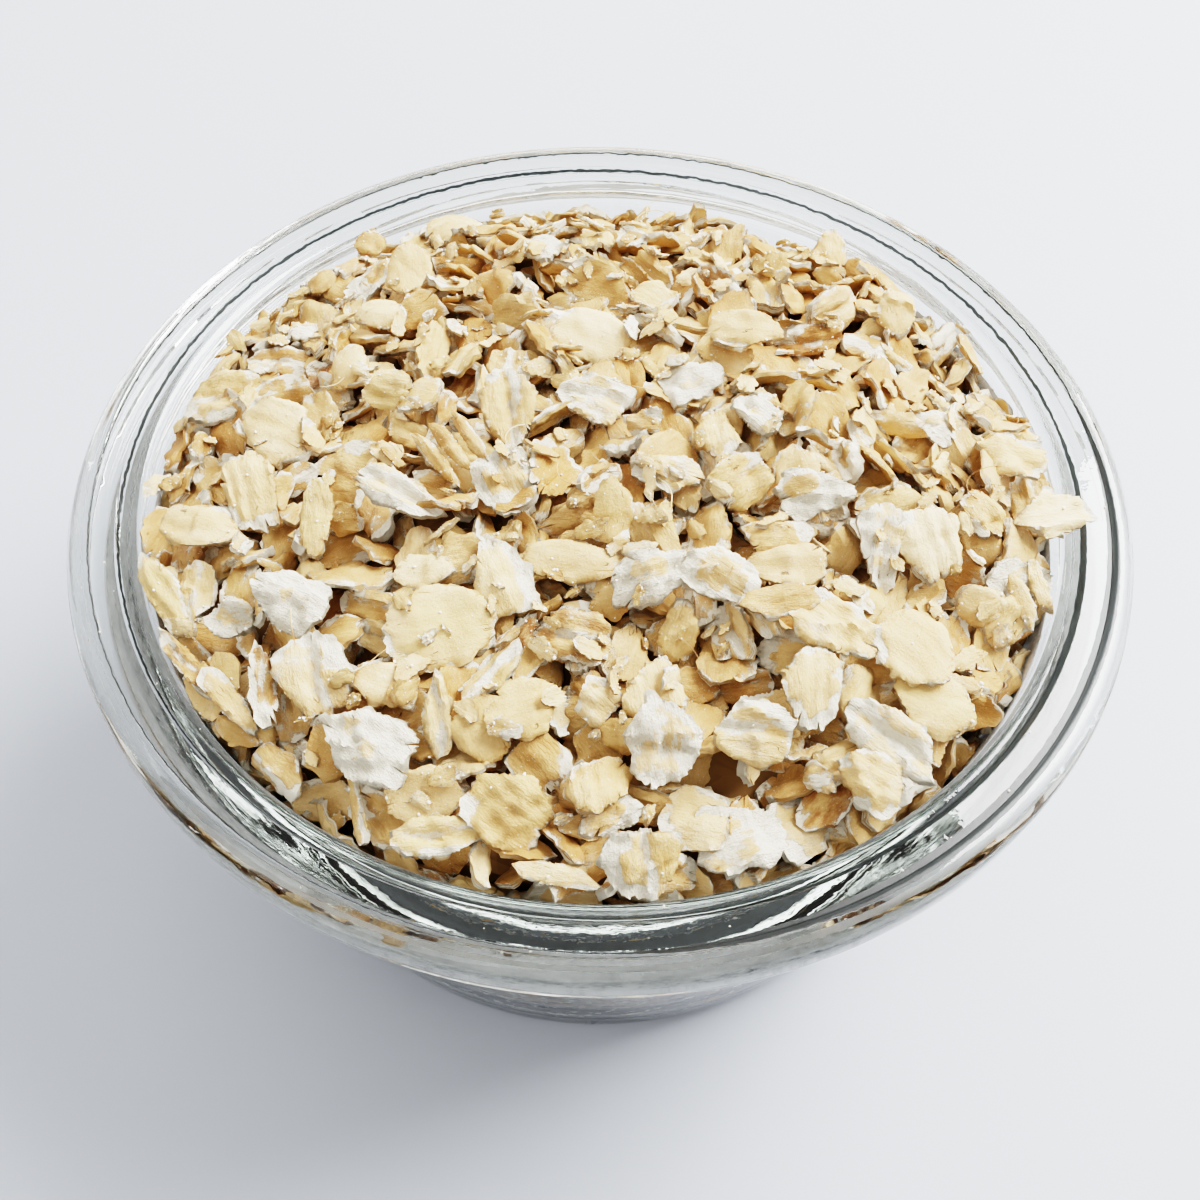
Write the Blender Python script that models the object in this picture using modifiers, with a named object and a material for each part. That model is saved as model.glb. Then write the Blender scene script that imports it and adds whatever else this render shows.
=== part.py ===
# A clear glass preserving bowl, heaped with rolled oats.
# The bowl is pressed glass: tapered walls, a thick round bead at the rim, a flat sealing
# ring with a ledge inside it, and a foot ring. The oats fill it to a low crown that stands
# above the rim. Metres, +Z up, origin at the middle of the foot, on the surface it stands on.

import math
import random

import bmesh
import bpy
from mathutils import Matrix, Vector

MM = 0.001

# Bowl, outside
RIM_RADIUS = 55 * MM
HEIGHT = 55 * MM
WALL = 3.4 * MM
FOOT_WALL_RADIUS = 43.9 * MM  # where the outer wall's line would meet the floor
NECK_WALL_RADIUS = 50.9 * MM  # the outer wall just under the bead
NECK_HEIGHT = 49 * MM
NECK_FLARE = 0.4 * MM
FOOT_ROUND = 5.5 * MM
FOOT_INNER_RADIUS = 33 * MM
FOOT_RECESS = 0.8 * MM

# Bowl, rim
BEAD_ROUND = 2 * MM
BEAD_UNDERSIDE = 49.5 * MM
SEAL_INNER_RADIUS = 49.9 * MM
SEAL_DROP = 0.1 * MM
LEDGE_RADIUS = 49.6 * MM
LEDGE_HEIGHT = 54 * MM
MOUTH_RADIUS = 47.8 * MM
MOUTH_ROUND = 1.1 * MM
MOUTH_BOTTOM = 50.6 * MM

# Bowl, inside
FLOOR_HEIGHT = 4.2 * MM
FLOOR_ROUND = 8 * MM
BOWL_STEPS = 48
ARC_STEPS = 4
SMALL_ARC_STEPS = 3
TUCK_UNDER = -75  # the bead's underside ends at this angle, in degrees

# Heap
CLEARANCE = 0.35 * MM  # between the oats and the glass
CROWN_HEIGHT = 62 * MM
EDGE_HEIGHT = 51.3 * MM  # the mean height of the oats against the wall
FRONT_RISE = 1.2 * MM  # they lie that much higher at the front, and lower at the back
SIDE_RISE = 1.4 * MM  # and higher at the left and right
ROLL = 0.8 * MM
ROLL_LENGTH = 9 * MM
CORE_DROP = 1.2 * MM  # the core's top under the heap's surface
CORE_SIDE_DROP = 0.5 * MM
CORE_STEPS = 40
CORE_RINGS = 9

# Flakes
FLAKE_SEED = 7
FLAKE_SIDES = 7
FLAKE_THICKNESS = 0.85 * MM
TOP_FLAKES = 130
SIDE_FLAKES = 30
SIDE_LOW, SIDE_HIGH = 13 * MM, 46 * MM
SMALLEST_FLAKE = 6.2 * MM
LARGEST_FLAKE = 11.5 * MM
USUAL_LEAN = 20  # degrees from the heap's surface
STEEPEST_LEAN = 62
NOTCH = 0.72  # how far in one side of a flake is broken
EDGE_GAP = 1.6 * MM
FLAT_SINK = 0.9 * MM  # a flat flake's middle under the heap's surface
STEEP_RISE = 1.9 * MM  # how much higher a steep one sits, at most
GOLDEN_ANGLE = math.pi * (3 - math.sqrt(5))
GOLDEN_SHARE = (math.sqrt(5) - 1) / 2

# Flakes that stand proud of the heap: place, length, width, turn, lean and which way it leans
PROUD_FLAKES = [
    ((44.2, -8.6, 56.6), 10.0, 7.6, 20, 24, 165),  # lies out over the rim at the right
    ((27.8, 31.5, 56.0), 8.4, 6.4, 60, 58, -105),  # stands at the back right
    ((0.5, 42.4, 53.0), 9.0, 6.8, 10, 40, -90),  # the highest one at the back
    ((-28.6, 31.6, 54.6), 8.8, 6.0, 70, 55, -60),  # stands at the back left
    ((-35.0, 28.0, 52.6), 7.6, 4.6, 30, 48, -70),
    ((-14.5, -23.5, 58.9), 11.5, 9.0, 15, 14, -90),  # the broad one at the front left
]


def material(name, colour, roughness, alpha=1.0, transmission=0.0):
    made = bpy.data.materials.new(name)
    made.use_nodes = True
    shader = made.node_tree.nodes["Principled BSDF"]
    shader.inputs["Base Color"].default_value = (*colour, 1)
    shader.inputs["Roughness"].default_value = roughness
    shader.inputs["Metallic"].default_value = 0
    shader.inputs["Alpha"].default_value = alpha
    shader.inputs["Transmission Weight"].default_value = transmission
    return made


def collection(name):
    made = bpy.data.collections.new(name)
    bpy.context.scene.collection.children.link(made)
    return made


def arc(centre, radius, start, end, steps):
    """Points on a circle about centre, from one angle to another in degrees, ends included."""
    angles = [math.radians(start + (end - start) * i / steps) for i in range(steps + 1)]
    return [(centre[0] + radius * math.cos(a), centre[1] + radius * math.sin(a)) for a in angles]


def turned(name, profile, steps):
    """A solid of revolution about Z. The profile runs up the inside, if any, and down the outside."""
    mesh = bpy.data.meshes.new(name)
    points = [(r, 0, z) for r, z in profile]
    mesh.from_pydata(points, [(i, i + 1) for i in range(len(points) - 1)], [])
    made = bpy.data.objects.new(name, mesh)
    screw = made.modifiers.new("Screw", "SCREW")
    screw.steps = steps
    screw.render_steps = steps
    screw.use_merge_vertices = True
    screw.merge_threshold = 0.00001
    screw.use_smooth_shade = True
    return made


def evaluated_mesh(thing):
    graph = bpy.context.evaluated_depsgraph_get()
    return bpy.data.meshes.new_from_object(thing.evaluated_get(graph))


# Bowl

WALL_SLOPE = (NECK_WALL_RADIUS - FOOT_WALL_RADIUS) / NECK_HEIGHT
WALL_TILT = math.degrees(math.atan(WALL_SLOPE))


def outer_radius(z):
    return FOOT_WALL_RADIUS + WALL_SLOPE * z


def inner_radius(z):
    """The inner wall: parallel to the outer one, and upright at the mouth."""
    return min(outer_radius(z) - WALL * math.hypot(1, WALL_SLOPE), MOUTH_RADIUS)


def corner_centre(radius_at, floor, rounding):
    """Centre of the rounding between a level floor and a leaning wall."""
    z = floor + rounding
    return radius_at(z) - rounding / math.cos(math.radians(WALL_TILT)), z


def bowl_profile():
    inner_corner = corner_centre(inner_radius, FLOOR_HEIGHT, FLOOR_ROUND)
    outer_corner = corner_centre(outer_radius, 0, FOOT_ROUND)
    bead = (RIM_RADIUS - BEAD_ROUND, HEIGHT - BEAD_ROUND)
    under = (RIM_RADIUS - BEAD_ROUND, BEAD_UNDERSIDE + BEAD_ROUND)
    mouth = (MOUTH_RADIUS + MOUTH_ROUND, LEDGE_HEIGHT - MOUTH_ROUND)
    inside = [(0, FLOOR_HEIGHT)] + arc(inner_corner, FLOOR_ROUND, -90, -WALL_TILT, ARC_STEPS)
    lip = [(inner_radius(MOUTH_BOTTOM - MM), MOUTH_BOTTOM - MM), (MOUTH_RADIUS, MOUTH_BOTTOM)]
    lip += arc(mouth, MOUTH_ROUND, 180, 90, SMALL_ARC_STEPS)
    lip += [(LEDGE_RADIUS, LEDGE_HEIGHT), (SEAL_INNER_RADIUS, HEIGHT - SEAL_DROP)]
    rim = arc(bead, BEAD_ROUND, 90, 0, ARC_STEPS)
    rim += arc(under, BEAD_ROUND, 0, TUCK_UNDER, SMALL_ARC_STEPS)
    neck = [(NECK_WALL_RADIUS + NECK_FLARE, NECK_HEIGHT), (outer_radius(NECK_HEIGHT - MM), NECK_HEIGHT - MM)]
    foot = arc(outer_corner, FOOT_ROUND, -WALL_TILT, -90, ARC_STEPS)
    foot += [(FOOT_INNER_RADIUS + MM, 0), (FOOT_INNER_RADIUS, FOOT_RECESS), (0, FOOT_RECESS)]
    return inside + lip + rim + neck + foot


def make_bowl(parts):
    bowl = turned("glass_bowl", bowl_profile(), BOWL_STEPS)
    bowl.data.materials.append(material("clear_glass", (0.9, 0.94, 0.93), 0.02, 0.35, 1.0))
    parts.objects.link(bowl)
    return bowl


# Heap

def heap_top(x, y):
    """Height of the heap's surface, flakes included."""
    r = min(math.hypot(x, y) / MOUTH_RADIUS, 1)
    angle = math.atan2(y, x)
    crown = (CROWN_HEIGHT - EDGE_HEIGHT) * (1 - r * r) ** 0.85
    lean = (SIDE_RISE * math.cos(2 * angle) - FRONT_RISE * math.sin(angle)) * r * r
    rolls = math.sin(x / ROLL_LENGTH + 1.1) * math.cos(y / ROLL_LENGTH - 0.4)
    return EDGE_HEIGHT + crown + lean + ROLL * rolls * (1 - 0.6 * r)


def heap_normal(x, y):
    step = 0.5 * MM
    slope_x = (heap_top(x + step, y) - heap_top(x - step, y)) / (2 * step)
    slope_y = (heap_top(x, y + step) - heap_top(x, y - step)) / (2 * step)
    return Vector((-slope_x, -slope_y, 1)).normalized()


def make_core(parts):
    """The packed inside of the heap: the bowl's hollow less a clearance, with an uneven crowned top."""
    floor = FLOOR_HEIGHT + CLEARANCE
    margin = CLEARANCE + CORE_SIDE_DROP
    corner = corner_centre(lambda z: inner_radius(z) - margin, floor, FLOOR_ROUND)
    flat_top = EDGE_HEIGHT
    reach = inner_radius(flat_top) - margin
    side_stops = [flat_top * share for share in (0.86, 0.7, 0.54, 0.38)]
    profile = [(reach * i / CORE_RINGS, flat_top) for i in range(CORE_RINGS + 1)]
    profile += [(inner_radius(z) - margin, z) for z in side_stops]
    profile += arc(corner, FLOOR_ROUND, -WALL_TILT, -90, SMALL_ARC_STEPS) + [(0, floor)]
    core = turned("rolled_oats", profile, CORE_STEPS)
    parts.objects.link(core)
    core.data = evaluated_mesh(core)
    core.modifiers.clear()
    for vertex in core.data.vertices:
        if vertex.co.z > flat_top - 0.01 * MM:
            vertex.co.z = heap_top(vertex.co.x, vertex.co.y) - CORE_DROP
    core.data.materials.append(material("oat_flakes", (0.84, 0.74, 0.56), 0.75))
    return core


# Flakes

def flake_mesh(draw, length, width):
    """One rolled groat: a thin oval plate with a ragged outline, curled a little along its length."""
    mesh = bpy.data.meshes.new("flake")
    bm = bmesh.new()
    plate = {"segments": FLAKE_SIDES, "radius1": 0.5, "radius2": 0.5, "depth": FLAKE_THICKNESS}
    bmesh.ops.create_cone(bm, cap_ends=True, cap_tris=True, **plate)
    curl = draw.uniform(-10, 22)
    notch = draw.randrange(FLAKE_SIDES)
    swell = [draw.uniform(0.86, 1.1) for _ in range(FLAKE_SIDES)]
    swell[notch] = NOTCH
    for vertex in bm.verts:
        side = round(math.atan2(vertex.co.y, vertex.co.x) / math.tau * FLAKE_SIDES) % FLAKE_SIDES
        vertex.co.x *= length * swell[side]
        vertex.co.y *= width * swell[side]
        vertex.co.z += curl * vertex.co.x**2 + 0.4 * curl * vertex.co.y**2
    bm.to_mesh(mesh)
    bm.free()
    return mesh


def allowed_radius(z):
    """How far out a flake may reach: to the glass below the rim, and to the bead above it."""
    if z > HEIGHT + CLEARANCE:
        return RIM_RADIUS - 3 * MM
    return inner_radius(z) - CLEARANCE


def pulled_clear(points, centre, height_at):
    """The shift towards the bowl's axis that takes these points off the glass, up or down the heap."""
    inward = -Vector((centre.x, centre.y, 0)).normalized()
    shift = Vector()
    for _ in range(6):
        excess = max((p + shift).xy.length - allowed_radius((p + shift).z) for p in points)
        if excess > 0:
            shift += inward * excess * 1.02
            place = centre + shift
            shift.z = height_at(place.x, place.y) - height_at(centre.x, centre.y)
    return shift


def place_flake(chips, draw, centre, normal, turn, length, width, height_at):
    mesh = flake_mesh(draw, length, width)
    frame = normal.to_track_quat("Z", "Y").to_matrix().to_4x4()
    matrix = Matrix.Translation(centre) @ frame @ Matrix.Rotation(turn, 4, "Z")
    mesh.transform(matrix)
    shift = pulled_clear([v.co for v in mesh.vertices], centre, height_at)
    mesh.transform(Matrix.Translation(shift))
    chips.objects.link(bpy.data.objects.new("flake", mesh))


def level(x, y):
    return 0


def flake_sizes(draw, count):
    """Lengths and widths, the largest first."""
    lengths = sorted((draw.betavariate(2.2, 2.6) for _ in range(count)), reverse=True)
    lengths = [SMALLEST_FLAKE + (LARGEST_FLAKE - SMALLEST_FLAKE) * s for s in lengths]
    return [(length, length * draw.uniform(0.62, 0.85)) for length in lengths]


def leaned(normal, lean, towards):
    """The normal turned by lean, so that it points more in the direction of towards."""
    aside = Vector((math.cos(towards), math.sin(towards), 0))
    return (normal * math.cos(lean) + aside * math.sin(lean)).normalized()


def strew_top(chips, draw):
    reach = MOUTH_RADIUS - EDGE_GAP
    places = list(range(TOP_FLAKES))
    draw.shuffle(places)
    for place, (length, width) in zip(places, flake_sizes(draw, TOP_FLAKES)):
        r = reach * math.sqrt((place + 0.5) / TOP_FLAKES)
        angle = place * GOLDEN_ANGLE
        x, y = r * math.cos(angle), r * math.sin(angle)
        lean = math.radians(draw.triangular(0, STEEPEST_LEAN, USUAL_LEAN))
        normal = leaned(heap_normal(x, y), lean, draw.uniform(0, math.tau))
        sink = FLAT_SINK - min(0.2 * length * math.sin(lean), STEEP_RISE)
        centre = Vector((x, y, heap_top(x, y) - sink))
        place_flake(chips, draw, centre, normal, draw.uniform(0, math.tau), length, width, heap_top)


def strew_side(chips, draw):
    """Flakes that lie flat against the glass, in a spiral up the wall."""
    for i, (length, width) in enumerate(flake_sizes(draw, SIDE_FLAKES)):
        z = SIDE_LOW + (SIDE_HIGH - SIDE_LOW) * ((i * GOLDEN_SHARE) % 1)
        angle = i * GOLDEN_ANGLE
        outward = Vector((math.cos(angle), math.sin(angle), -WALL_SLOPE)).normalized()
        depth = CLEARANCE + FLAKE_THICKNESS / 2
        centre = Vector((math.cos(angle), math.sin(angle), 0)) * (inner_radius(z) - depth)
        centre.z = z
        place_flake(chips, draw, centre, outward, draw.uniform(0, math.tau), length, width, level)


def stand_proud(chips, draw):
    for place, length, width, turn, lean, towards in PROUD_FLAKES:
        centre = Vector(place) * MM
        normal = leaned(Vector((0, 0, 1)), math.radians(lean), math.radians(towards))
        place_flake(chips, draw, centre, normal, math.radians(turn), length * MM, width * MM, level)


def keep_outer_shell(mesh):
    """Drops the small shells that fusing leaves: hollows that it seals, and loose scraps."""
    bm = bmesh.new()
    bm.from_mesh(mesh)
    shells = []
    for start in bm.verts:
        if start.tag:
            continue
        start.tag = True
        shell = [start]
        for vertex in shell:
            beside = [edge.other_vert(vertex) for edge in vertex.link_edges]
            for other in beside:
                if not other.tag:
                    other.tag = True
                    shell.append(other)
        shells.append(shell)
    outer = max(shells, key=len)
    scraps = [vertex for shell in shells if shell is not outer for vertex in shell]
    bmesh.ops.delete(bm, geom=scraps, context="VERTS")
    bm.to_mesh(mesh)
    bm.free()


def fuse(core, chips):
    """Joins the flakes to the core in one solid, and takes the loose flakes away."""
    union = core.modifiers.new("Union", "BOOLEAN")
    union.operation = "UNION"
    union.operand_type = "COLLECTION"
    union.collection = chips
    union.solver = "MANIFOLD"
    fused = evaluated_mesh(core)
    core.modifiers.clear()
    core.data = fused
    keep_outer_shell(fused)
    for chip in list(chips.objects):
        bpy.data.objects.remove(chip)
    bpy.data.collections.remove(chips)


def make_oats(parts):
    draw = random.Random(FLAKE_SEED)
    core = make_core(parts)
    chips = collection("loose_flakes")
    stand_proud(chips, draw)
    strew_top(chips, draw)
    strew_side(chips, draw)
    fuse(core, chips)
    return core


for old in list(bpy.data.objects):
    bpy.data.objects.remove(old)
bowl_of_oats = collection("bowl_of_rolled_oats")
make_bowl(bowl_of_oats)
make_oats(bowl_of_oats)
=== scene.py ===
import math
import random

import bmesh
import bpy
import numpy as np
from mathutils import Matrix, Vector
from mathutils.geometry import delaunay_2d_cdt


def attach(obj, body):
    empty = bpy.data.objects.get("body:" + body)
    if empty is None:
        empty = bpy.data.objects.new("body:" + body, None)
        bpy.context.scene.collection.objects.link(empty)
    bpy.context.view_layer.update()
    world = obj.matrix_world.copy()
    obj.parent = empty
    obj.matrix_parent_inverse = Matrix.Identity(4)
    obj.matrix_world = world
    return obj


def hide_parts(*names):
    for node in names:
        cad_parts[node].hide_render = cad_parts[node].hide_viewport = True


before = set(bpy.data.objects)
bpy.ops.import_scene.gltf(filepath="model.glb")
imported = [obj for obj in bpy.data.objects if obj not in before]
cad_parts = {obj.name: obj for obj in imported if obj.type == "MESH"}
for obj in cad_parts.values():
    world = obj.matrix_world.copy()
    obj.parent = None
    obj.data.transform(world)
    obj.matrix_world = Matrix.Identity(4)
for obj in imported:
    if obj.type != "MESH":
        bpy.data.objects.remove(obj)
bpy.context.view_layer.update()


# The view: a phone camera held over the near edge of the bowl, tipped 55 degrees down.
# Its place and lens were worked out from the ellipses of the rim.

MM = 0.001
CAMERA_AT = Vector((0, -83.78, 150.5)) * MM
CAMERA_RIGHT = Vector((0.99981, 0.01588, 0.01125)).normalized()
CAMERA_AHEAD = Vector((0.00027, 0.56664, -0.82397)).normalized()
LENS = 36.0
SENSOR = 36.0
PHOTO = 1200

camera_data = bpy.data.cameras.new("camera")
camera_data.lens = LENS
camera_data.sensor_width = SENSOR
camera_data.clip_start = 0.005
camera = bpy.data.objects.new("camera", camera_data)
bpy.context.scene.collection.objects.link(camera)
camera_up = CAMERA_RIGHT.cross(CAMERA_AHEAD)
turn = Matrix((CAMERA_RIGHT, camera_up, -CAMERA_AHEAD)).transposed()
camera.matrix_world = Matrix.Translation(CAMERA_AT) @ turn.to_4x4()
bpy.context.scene.camera = camera


def sight_line(px, py):
    """The direction in which the camera sees a pixel of the photograph."""
    across = (px - PHOTO / 2) / PHOTO * SENSOR / LENS
    up = -(py - PHOTO / 2) / PHOTO * SENSOR / LENS
    return CAMERA_AHEAD + CAMERA_RIGHT * across + camera_up * up


# The bowl: one piece of clear pressed glass, faintly grey-green, with tapered walls. Its rim
# is a thick bead with a flat ring for a rubber seal and a ledge inside that. The plunger of
# the press leaves fine rings on the rim, and the cooling glass is never quite even.

RIM_RADIUS = 55 * MM
BOWL_HEIGHT = 55 * MM
WALL = 3.4 * MM
FOOT_WALL_RADIUS = 43.9 * MM
NECK_WALL_RADIUS = 50.9 * MM
NECK_HEIGHT = 49 * MM
NECK_ROUND = 2.2 * MM
FOOT_ROUND = 5.5 * MM
FOOT_INNER_RADIUS = 33 * MM
FOOT_RECESS = 0.8 * MM
BEAD_ROUND = 2 * MM
BEAD_UNDERSIDE = 49.5 * MM
SEAL_INNER_RADIUS = 49.9 * MM
SEAL_DROP = 0.35 * MM
SEAL_OUTER_RADIUS = 52.4 * MM
LEDGE_RADIUS = 49.6 * MM
LEDGE_HEIGHT = 54 * MM
MOUTH_RADIUS = 47.8 * MM
MOUTH_ROUND = 1.1 * MM
MOUTH_BOTTOM = 50.6 * MM
FLOOR_HEIGHT = 4.2 * MM
FLOOR_ROUND = 8 * MM
WALL_SLOPE = (NECK_WALL_RADIUS - FOOT_WALL_RADIUS) / NECK_HEIGHT
WALL_TILT = math.degrees(math.atan(WALL_SLOPE))
WALL_ACROSS = WALL * math.hypot(1, WALL_SLOPE)
BOWL_STEPS = 288


def outer_radius(z):
    return FOOT_WALL_RADIUS + WALL_SLOPE * z


def inner_radius(z):
    """The inner wall, for numbers or arrays: parallel to the outer one, and upright at the mouth."""
    return np.minimum(outer_radius(z) - WALL_ACROSS, MOUTH_RADIUS)


def arc(centre, radius, start, end, steps):
    """Points on an arc between two angles in degrees."""
    angles = [math.radians(start + (end - start) * i / steps) for i in range(steps + 1)]
    return [(centre[0] + radius * math.cos(a), centre[1] + radius * math.sin(a)) for a in angles]


def corner_centre(radius_at, floor, rounding):
    """The centre of the round corner between a floor and a wall, as radius and height."""
    z = floor + rounding
    return radius_at(z) - rounding / math.cos(math.radians(WALL_TILT)), z


def bowl_profile():
    """Radius and height of the glass, from the middle of its floor over the rim to its foot."""
    bead = (RIM_RADIUS - BEAD_ROUND, BOWL_HEIGHT - BEAD_ROUND)
    under = (RIM_RADIUS - BEAD_ROUND, BEAD_UNDERSIDE + BEAD_ROUND)
    hollow = (NECK_WALL_RADIUS + NECK_ROUND + 0.1 * MM, BEAD_UNDERSIDE - NECK_ROUND + 0.3 * MM)
    mouth = (MOUTH_RADIUS + MOUTH_ROUND, LEDGE_HEIGHT - MOUTH_ROUND)
    inner_corner = corner_centre(inner_radius, FLOOR_HEIGHT, FLOOR_ROUND)
    outer_corner = corner_centre(outer_radius, 0, FOOT_ROUND)
    inside = [(0, FLOOR_HEIGHT), (20 * MM, FLOOR_HEIGHT)]
    inside += arc(inner_corner, FLOOR_ROUND, -90, -WALL_TILT, 14)
    wall_low, wall_high = FLOOR_HEIGHT + FLOOR_ROUND, MOUTH_BOTTOM - MM
    for i in range(1, 8):
        z = wall_low + (MOUTH_BOTTOM - FLOOR_HEIGHT - FLOOR_ROUND - MM) * i / 8
        inside.append((inner_radius(z), z))
    inside += [(inner_radius(wall_high), wall_high), (MOUTH_RADIUS, MOUTH_BOTTOM)]
    inside += arc(mouth, MOUTH_ROUND, 180, 90, 8)
    step = [(LEDGE_RADIUS - 0.15 * MM, LEDGE_HEIGHT), (LEDGE_RADIUS, LEDGE_HEIGHT + 0.05 * MM)]
    step += [(SEAL_INNER_RADIUS - 0.05 * MM, BOWL_HEIGHT - SEAL_DROP - 0.15 * MM)]
    step += [(SEAL_INNER_RADIUS + 0.1 * MM, BOWL_HEIGHT - SEAL_DROP)]
    seal = [(r * MM, BOWL_HEIGHT - SEAL_DROP) for r in (50.6, 51.4, 52.1)]
    width = RIM_RADIUS - BEAD_ROUND - SEAL_OUTER_RADIUS
    for i in range(6):
        swing = math.radians(90 * i / 6)
        r = SEAL_OUTER_RADIUS + width * (1 - math.cos(swing))
        seal.append((r, BOWL_HEIGHT - SEAL_DROP * (1 - math.sin(swing))))
    rim = arc(bead, BEAD_ROUND, 90, 0, 10) + arc(under, BEAD_ROUND, 0, -80, 9)
    neck = arc(hollow, NECK_ROUND, 100, 180 - WALL_TILT, 8)
    outside = [(outer_radius(z), z) for z in np.linspace(hollow[1] - 1.5 * MM, FOOT_ROUND * 1.3, 9)]
    foot = arc(outer_corner, FOOT_ROUND, -WALL_TILT, -90, 12)
    foot += [(FOOT_INNER_RADIUS + MM, 0), (FOOT_INNER_RADIUS, FOOT_RECESS), (0, FOOT_RECESS)]
    return inside + step + seal + rim + neck + outside + foot


def glass_unevenness(angle, i, r, z):
    """How far the glass strays from the true profile, outwards and up, in metres."""
    at_rim = max(0.0, min(1.0, (z - 46 * MM) / (6 * MM)))
    slow = math.sin(5 * angle + 0.9 * i) * 0.5 + math.sin(9 * angle + 0.37 * i) * 0.3
    quick = math.sin(37 * angle + 1.7 * i) * 0.2 + math.sin(61 * angle - 0.8 * i) * 0.14
    size = (0.012 + 0.022 * at_rim) * MM * (r > 30 * MM)
    return size * (slow + quick), size * (quick - slow) * 0.5 * (z > 5 * MM)


def turned_mesh(name, profile, steps, stray=None):
    """A turned solid. The profile's ends are on the axis."""
    points = [(0, 0, profile[0][1])]
    rings = profile[1:-1]
    for i, (r, z) in enumerate(rings):
        for k in range(steps):
            angle = math.tau * k / steps
            out, up = stray(angle, i, r, z) if stray else (0, 0)
            points.append(((r + out) * math.cos(angle), (r + out) * math.sin(angle), z + up))
    last = len(points)
    points.append((0, 0, profile[-1][1]))
    faces = []
    for k in range(steps):
        after = (k + 1) % steps
        faces.append((0, 1 + k, 1 + after))
        for i in range(len(rings) - 1):
            low, high = 1 + i * steps, 1 + (i + 1) * steps
            faces.append((low + k, high + k, high + after, low + after))
        top = 1 + (len(rings) - 1) * steps
        faces.append((top + k, last, top + after))
    mesh = bpy.data.meshes.new(name)
    mesh.from_pydata(points, [], faces)
    mesh.update()
    return mesh


def add_piece(name, mesh):
    piece = bpy.data.objects.new(name, mesh)
    bpy.context.scene.collection.objects.link(piece)
    return piece


def new_node(tree, kind, **values):
    node = tree.nodes.new(kind)
    for key, value in values.items():
        setattr(node, key, value)
    return node


def paint(value):
    """A screen colour's number, up to 255, as the light it stands for."""
    return ((value / 255 + 0.055) / 1.055) ** 2.4


def feed(tree, socket, given):
    """Sets a socket to a number or a screen colour, or links another node's output to it."""
    if isinstance(given, (int, float)):
        socket.default_value = given
    elif isinstance(given, tuple):
        socket.default_value = (*[paint(v) for v in given], 1)
    else:
        tree.links.new(given, socket)


def maths(tree, operation, *values):
    """The output of a Math node whose inputs are numbers or other nodes' outputs."""
    node = new_node(tree, "ShaderNodeMath", operation=operation)
    for socket, value in zip(node.inputs, values):
        feed(tree, socket, value)
    return node.outputs[0]


def noise(tree, where, scale, detail=2.0, roughness=0.5, stretch=(1, 1, 1)):
    """Noise, about 0.5 on average. Its scale is in waves to the metre, but in waves to the
    millimetre over a flake's grain."""
    if stretch != (1, 1, 1):
        mapping = new_node(tree, "ShaderNodeVectorMath", operation="MULTIPLY")
        mapping.inputs[1].default_value = stretch
        tree.links.new(where, mapping.inputs[0])
        where = mapping.outputs[0]
    node = new_node(tree, "ShaderNodeTexNoise")
    for label, value in (("Scale", scale), ("Detail", detail), ("Roughness", roughness)):
        feed(tree, node.inputs[label], value)
    tree.links.new(where, node.inputs["Vector"])
    return node.outputs["Fac"]


def add_bump(tree, shader, height, strength):
    """Shades a surface as if it had this height, where 1 stands for 0.4 mm at full strength."""
    bump = new_node(tree, "ShaderNodeBump")
    bump.inputs["Strength"].default_value = strength
    bump.inputs["Distance"].default_value = 0.4 * MM
    tree.links.new(height, bump.inputs["Height"])
    tree.links.new(bump.outputs["Normal"], shader.inputs["Normal"])


def new_material(name, roughness=None):
    """A material with its node tree and its shader."""
    made = bpy.data.materials.new(name)
    made.use_nodes = True
    shader = made.node_tree.nodes["Principled BSDF"]
    if roughness is not None:
        shader.inputs["Roughness"].default_value = roughness
    return made, made.node_tree, shader


# Each ring that the mould leaves round the rim: its radius, half its width round most of the
# rim, and half its width at the front right, where the photo shows the lines broader.
# The first two rings are rough and also tinted near black in the glass's colour: painted dark reflection.
DARK_REFLECTION_LINES = ((49.72 * MM, 0.09 * MM, 0.33 * MM), (52.5 * MM, 0.06 * MM, 0.7 * MM))
LIGHT_LINES = ((48.75 * MM, 0.06 * MM, 0.06 * MM), (53.05 * MM, 0.05 * MM, 0.1 * MM),
               (53.8 * MM, 0.2 * MM, 0.3 * MM))
LINES_ABOVE = 51 * MM
LINE_WAVER = 0.25 * MM
LINE_ROUGHNESS = 0.3
# The glass's own tint, and the near-black tint painted on the dark rings as dark reflection.
CLEAR_TINT, DARK_REFLECTION_TINT = (0.885, 0.9, 0.88, 1), (0.003, 0.004, 0.0035, 1)
FRONT_RIGHT = 0.77, -0.64
WIDEN_FROM, WIDEN_OVER = 34 * MM, 16 * MM


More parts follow.
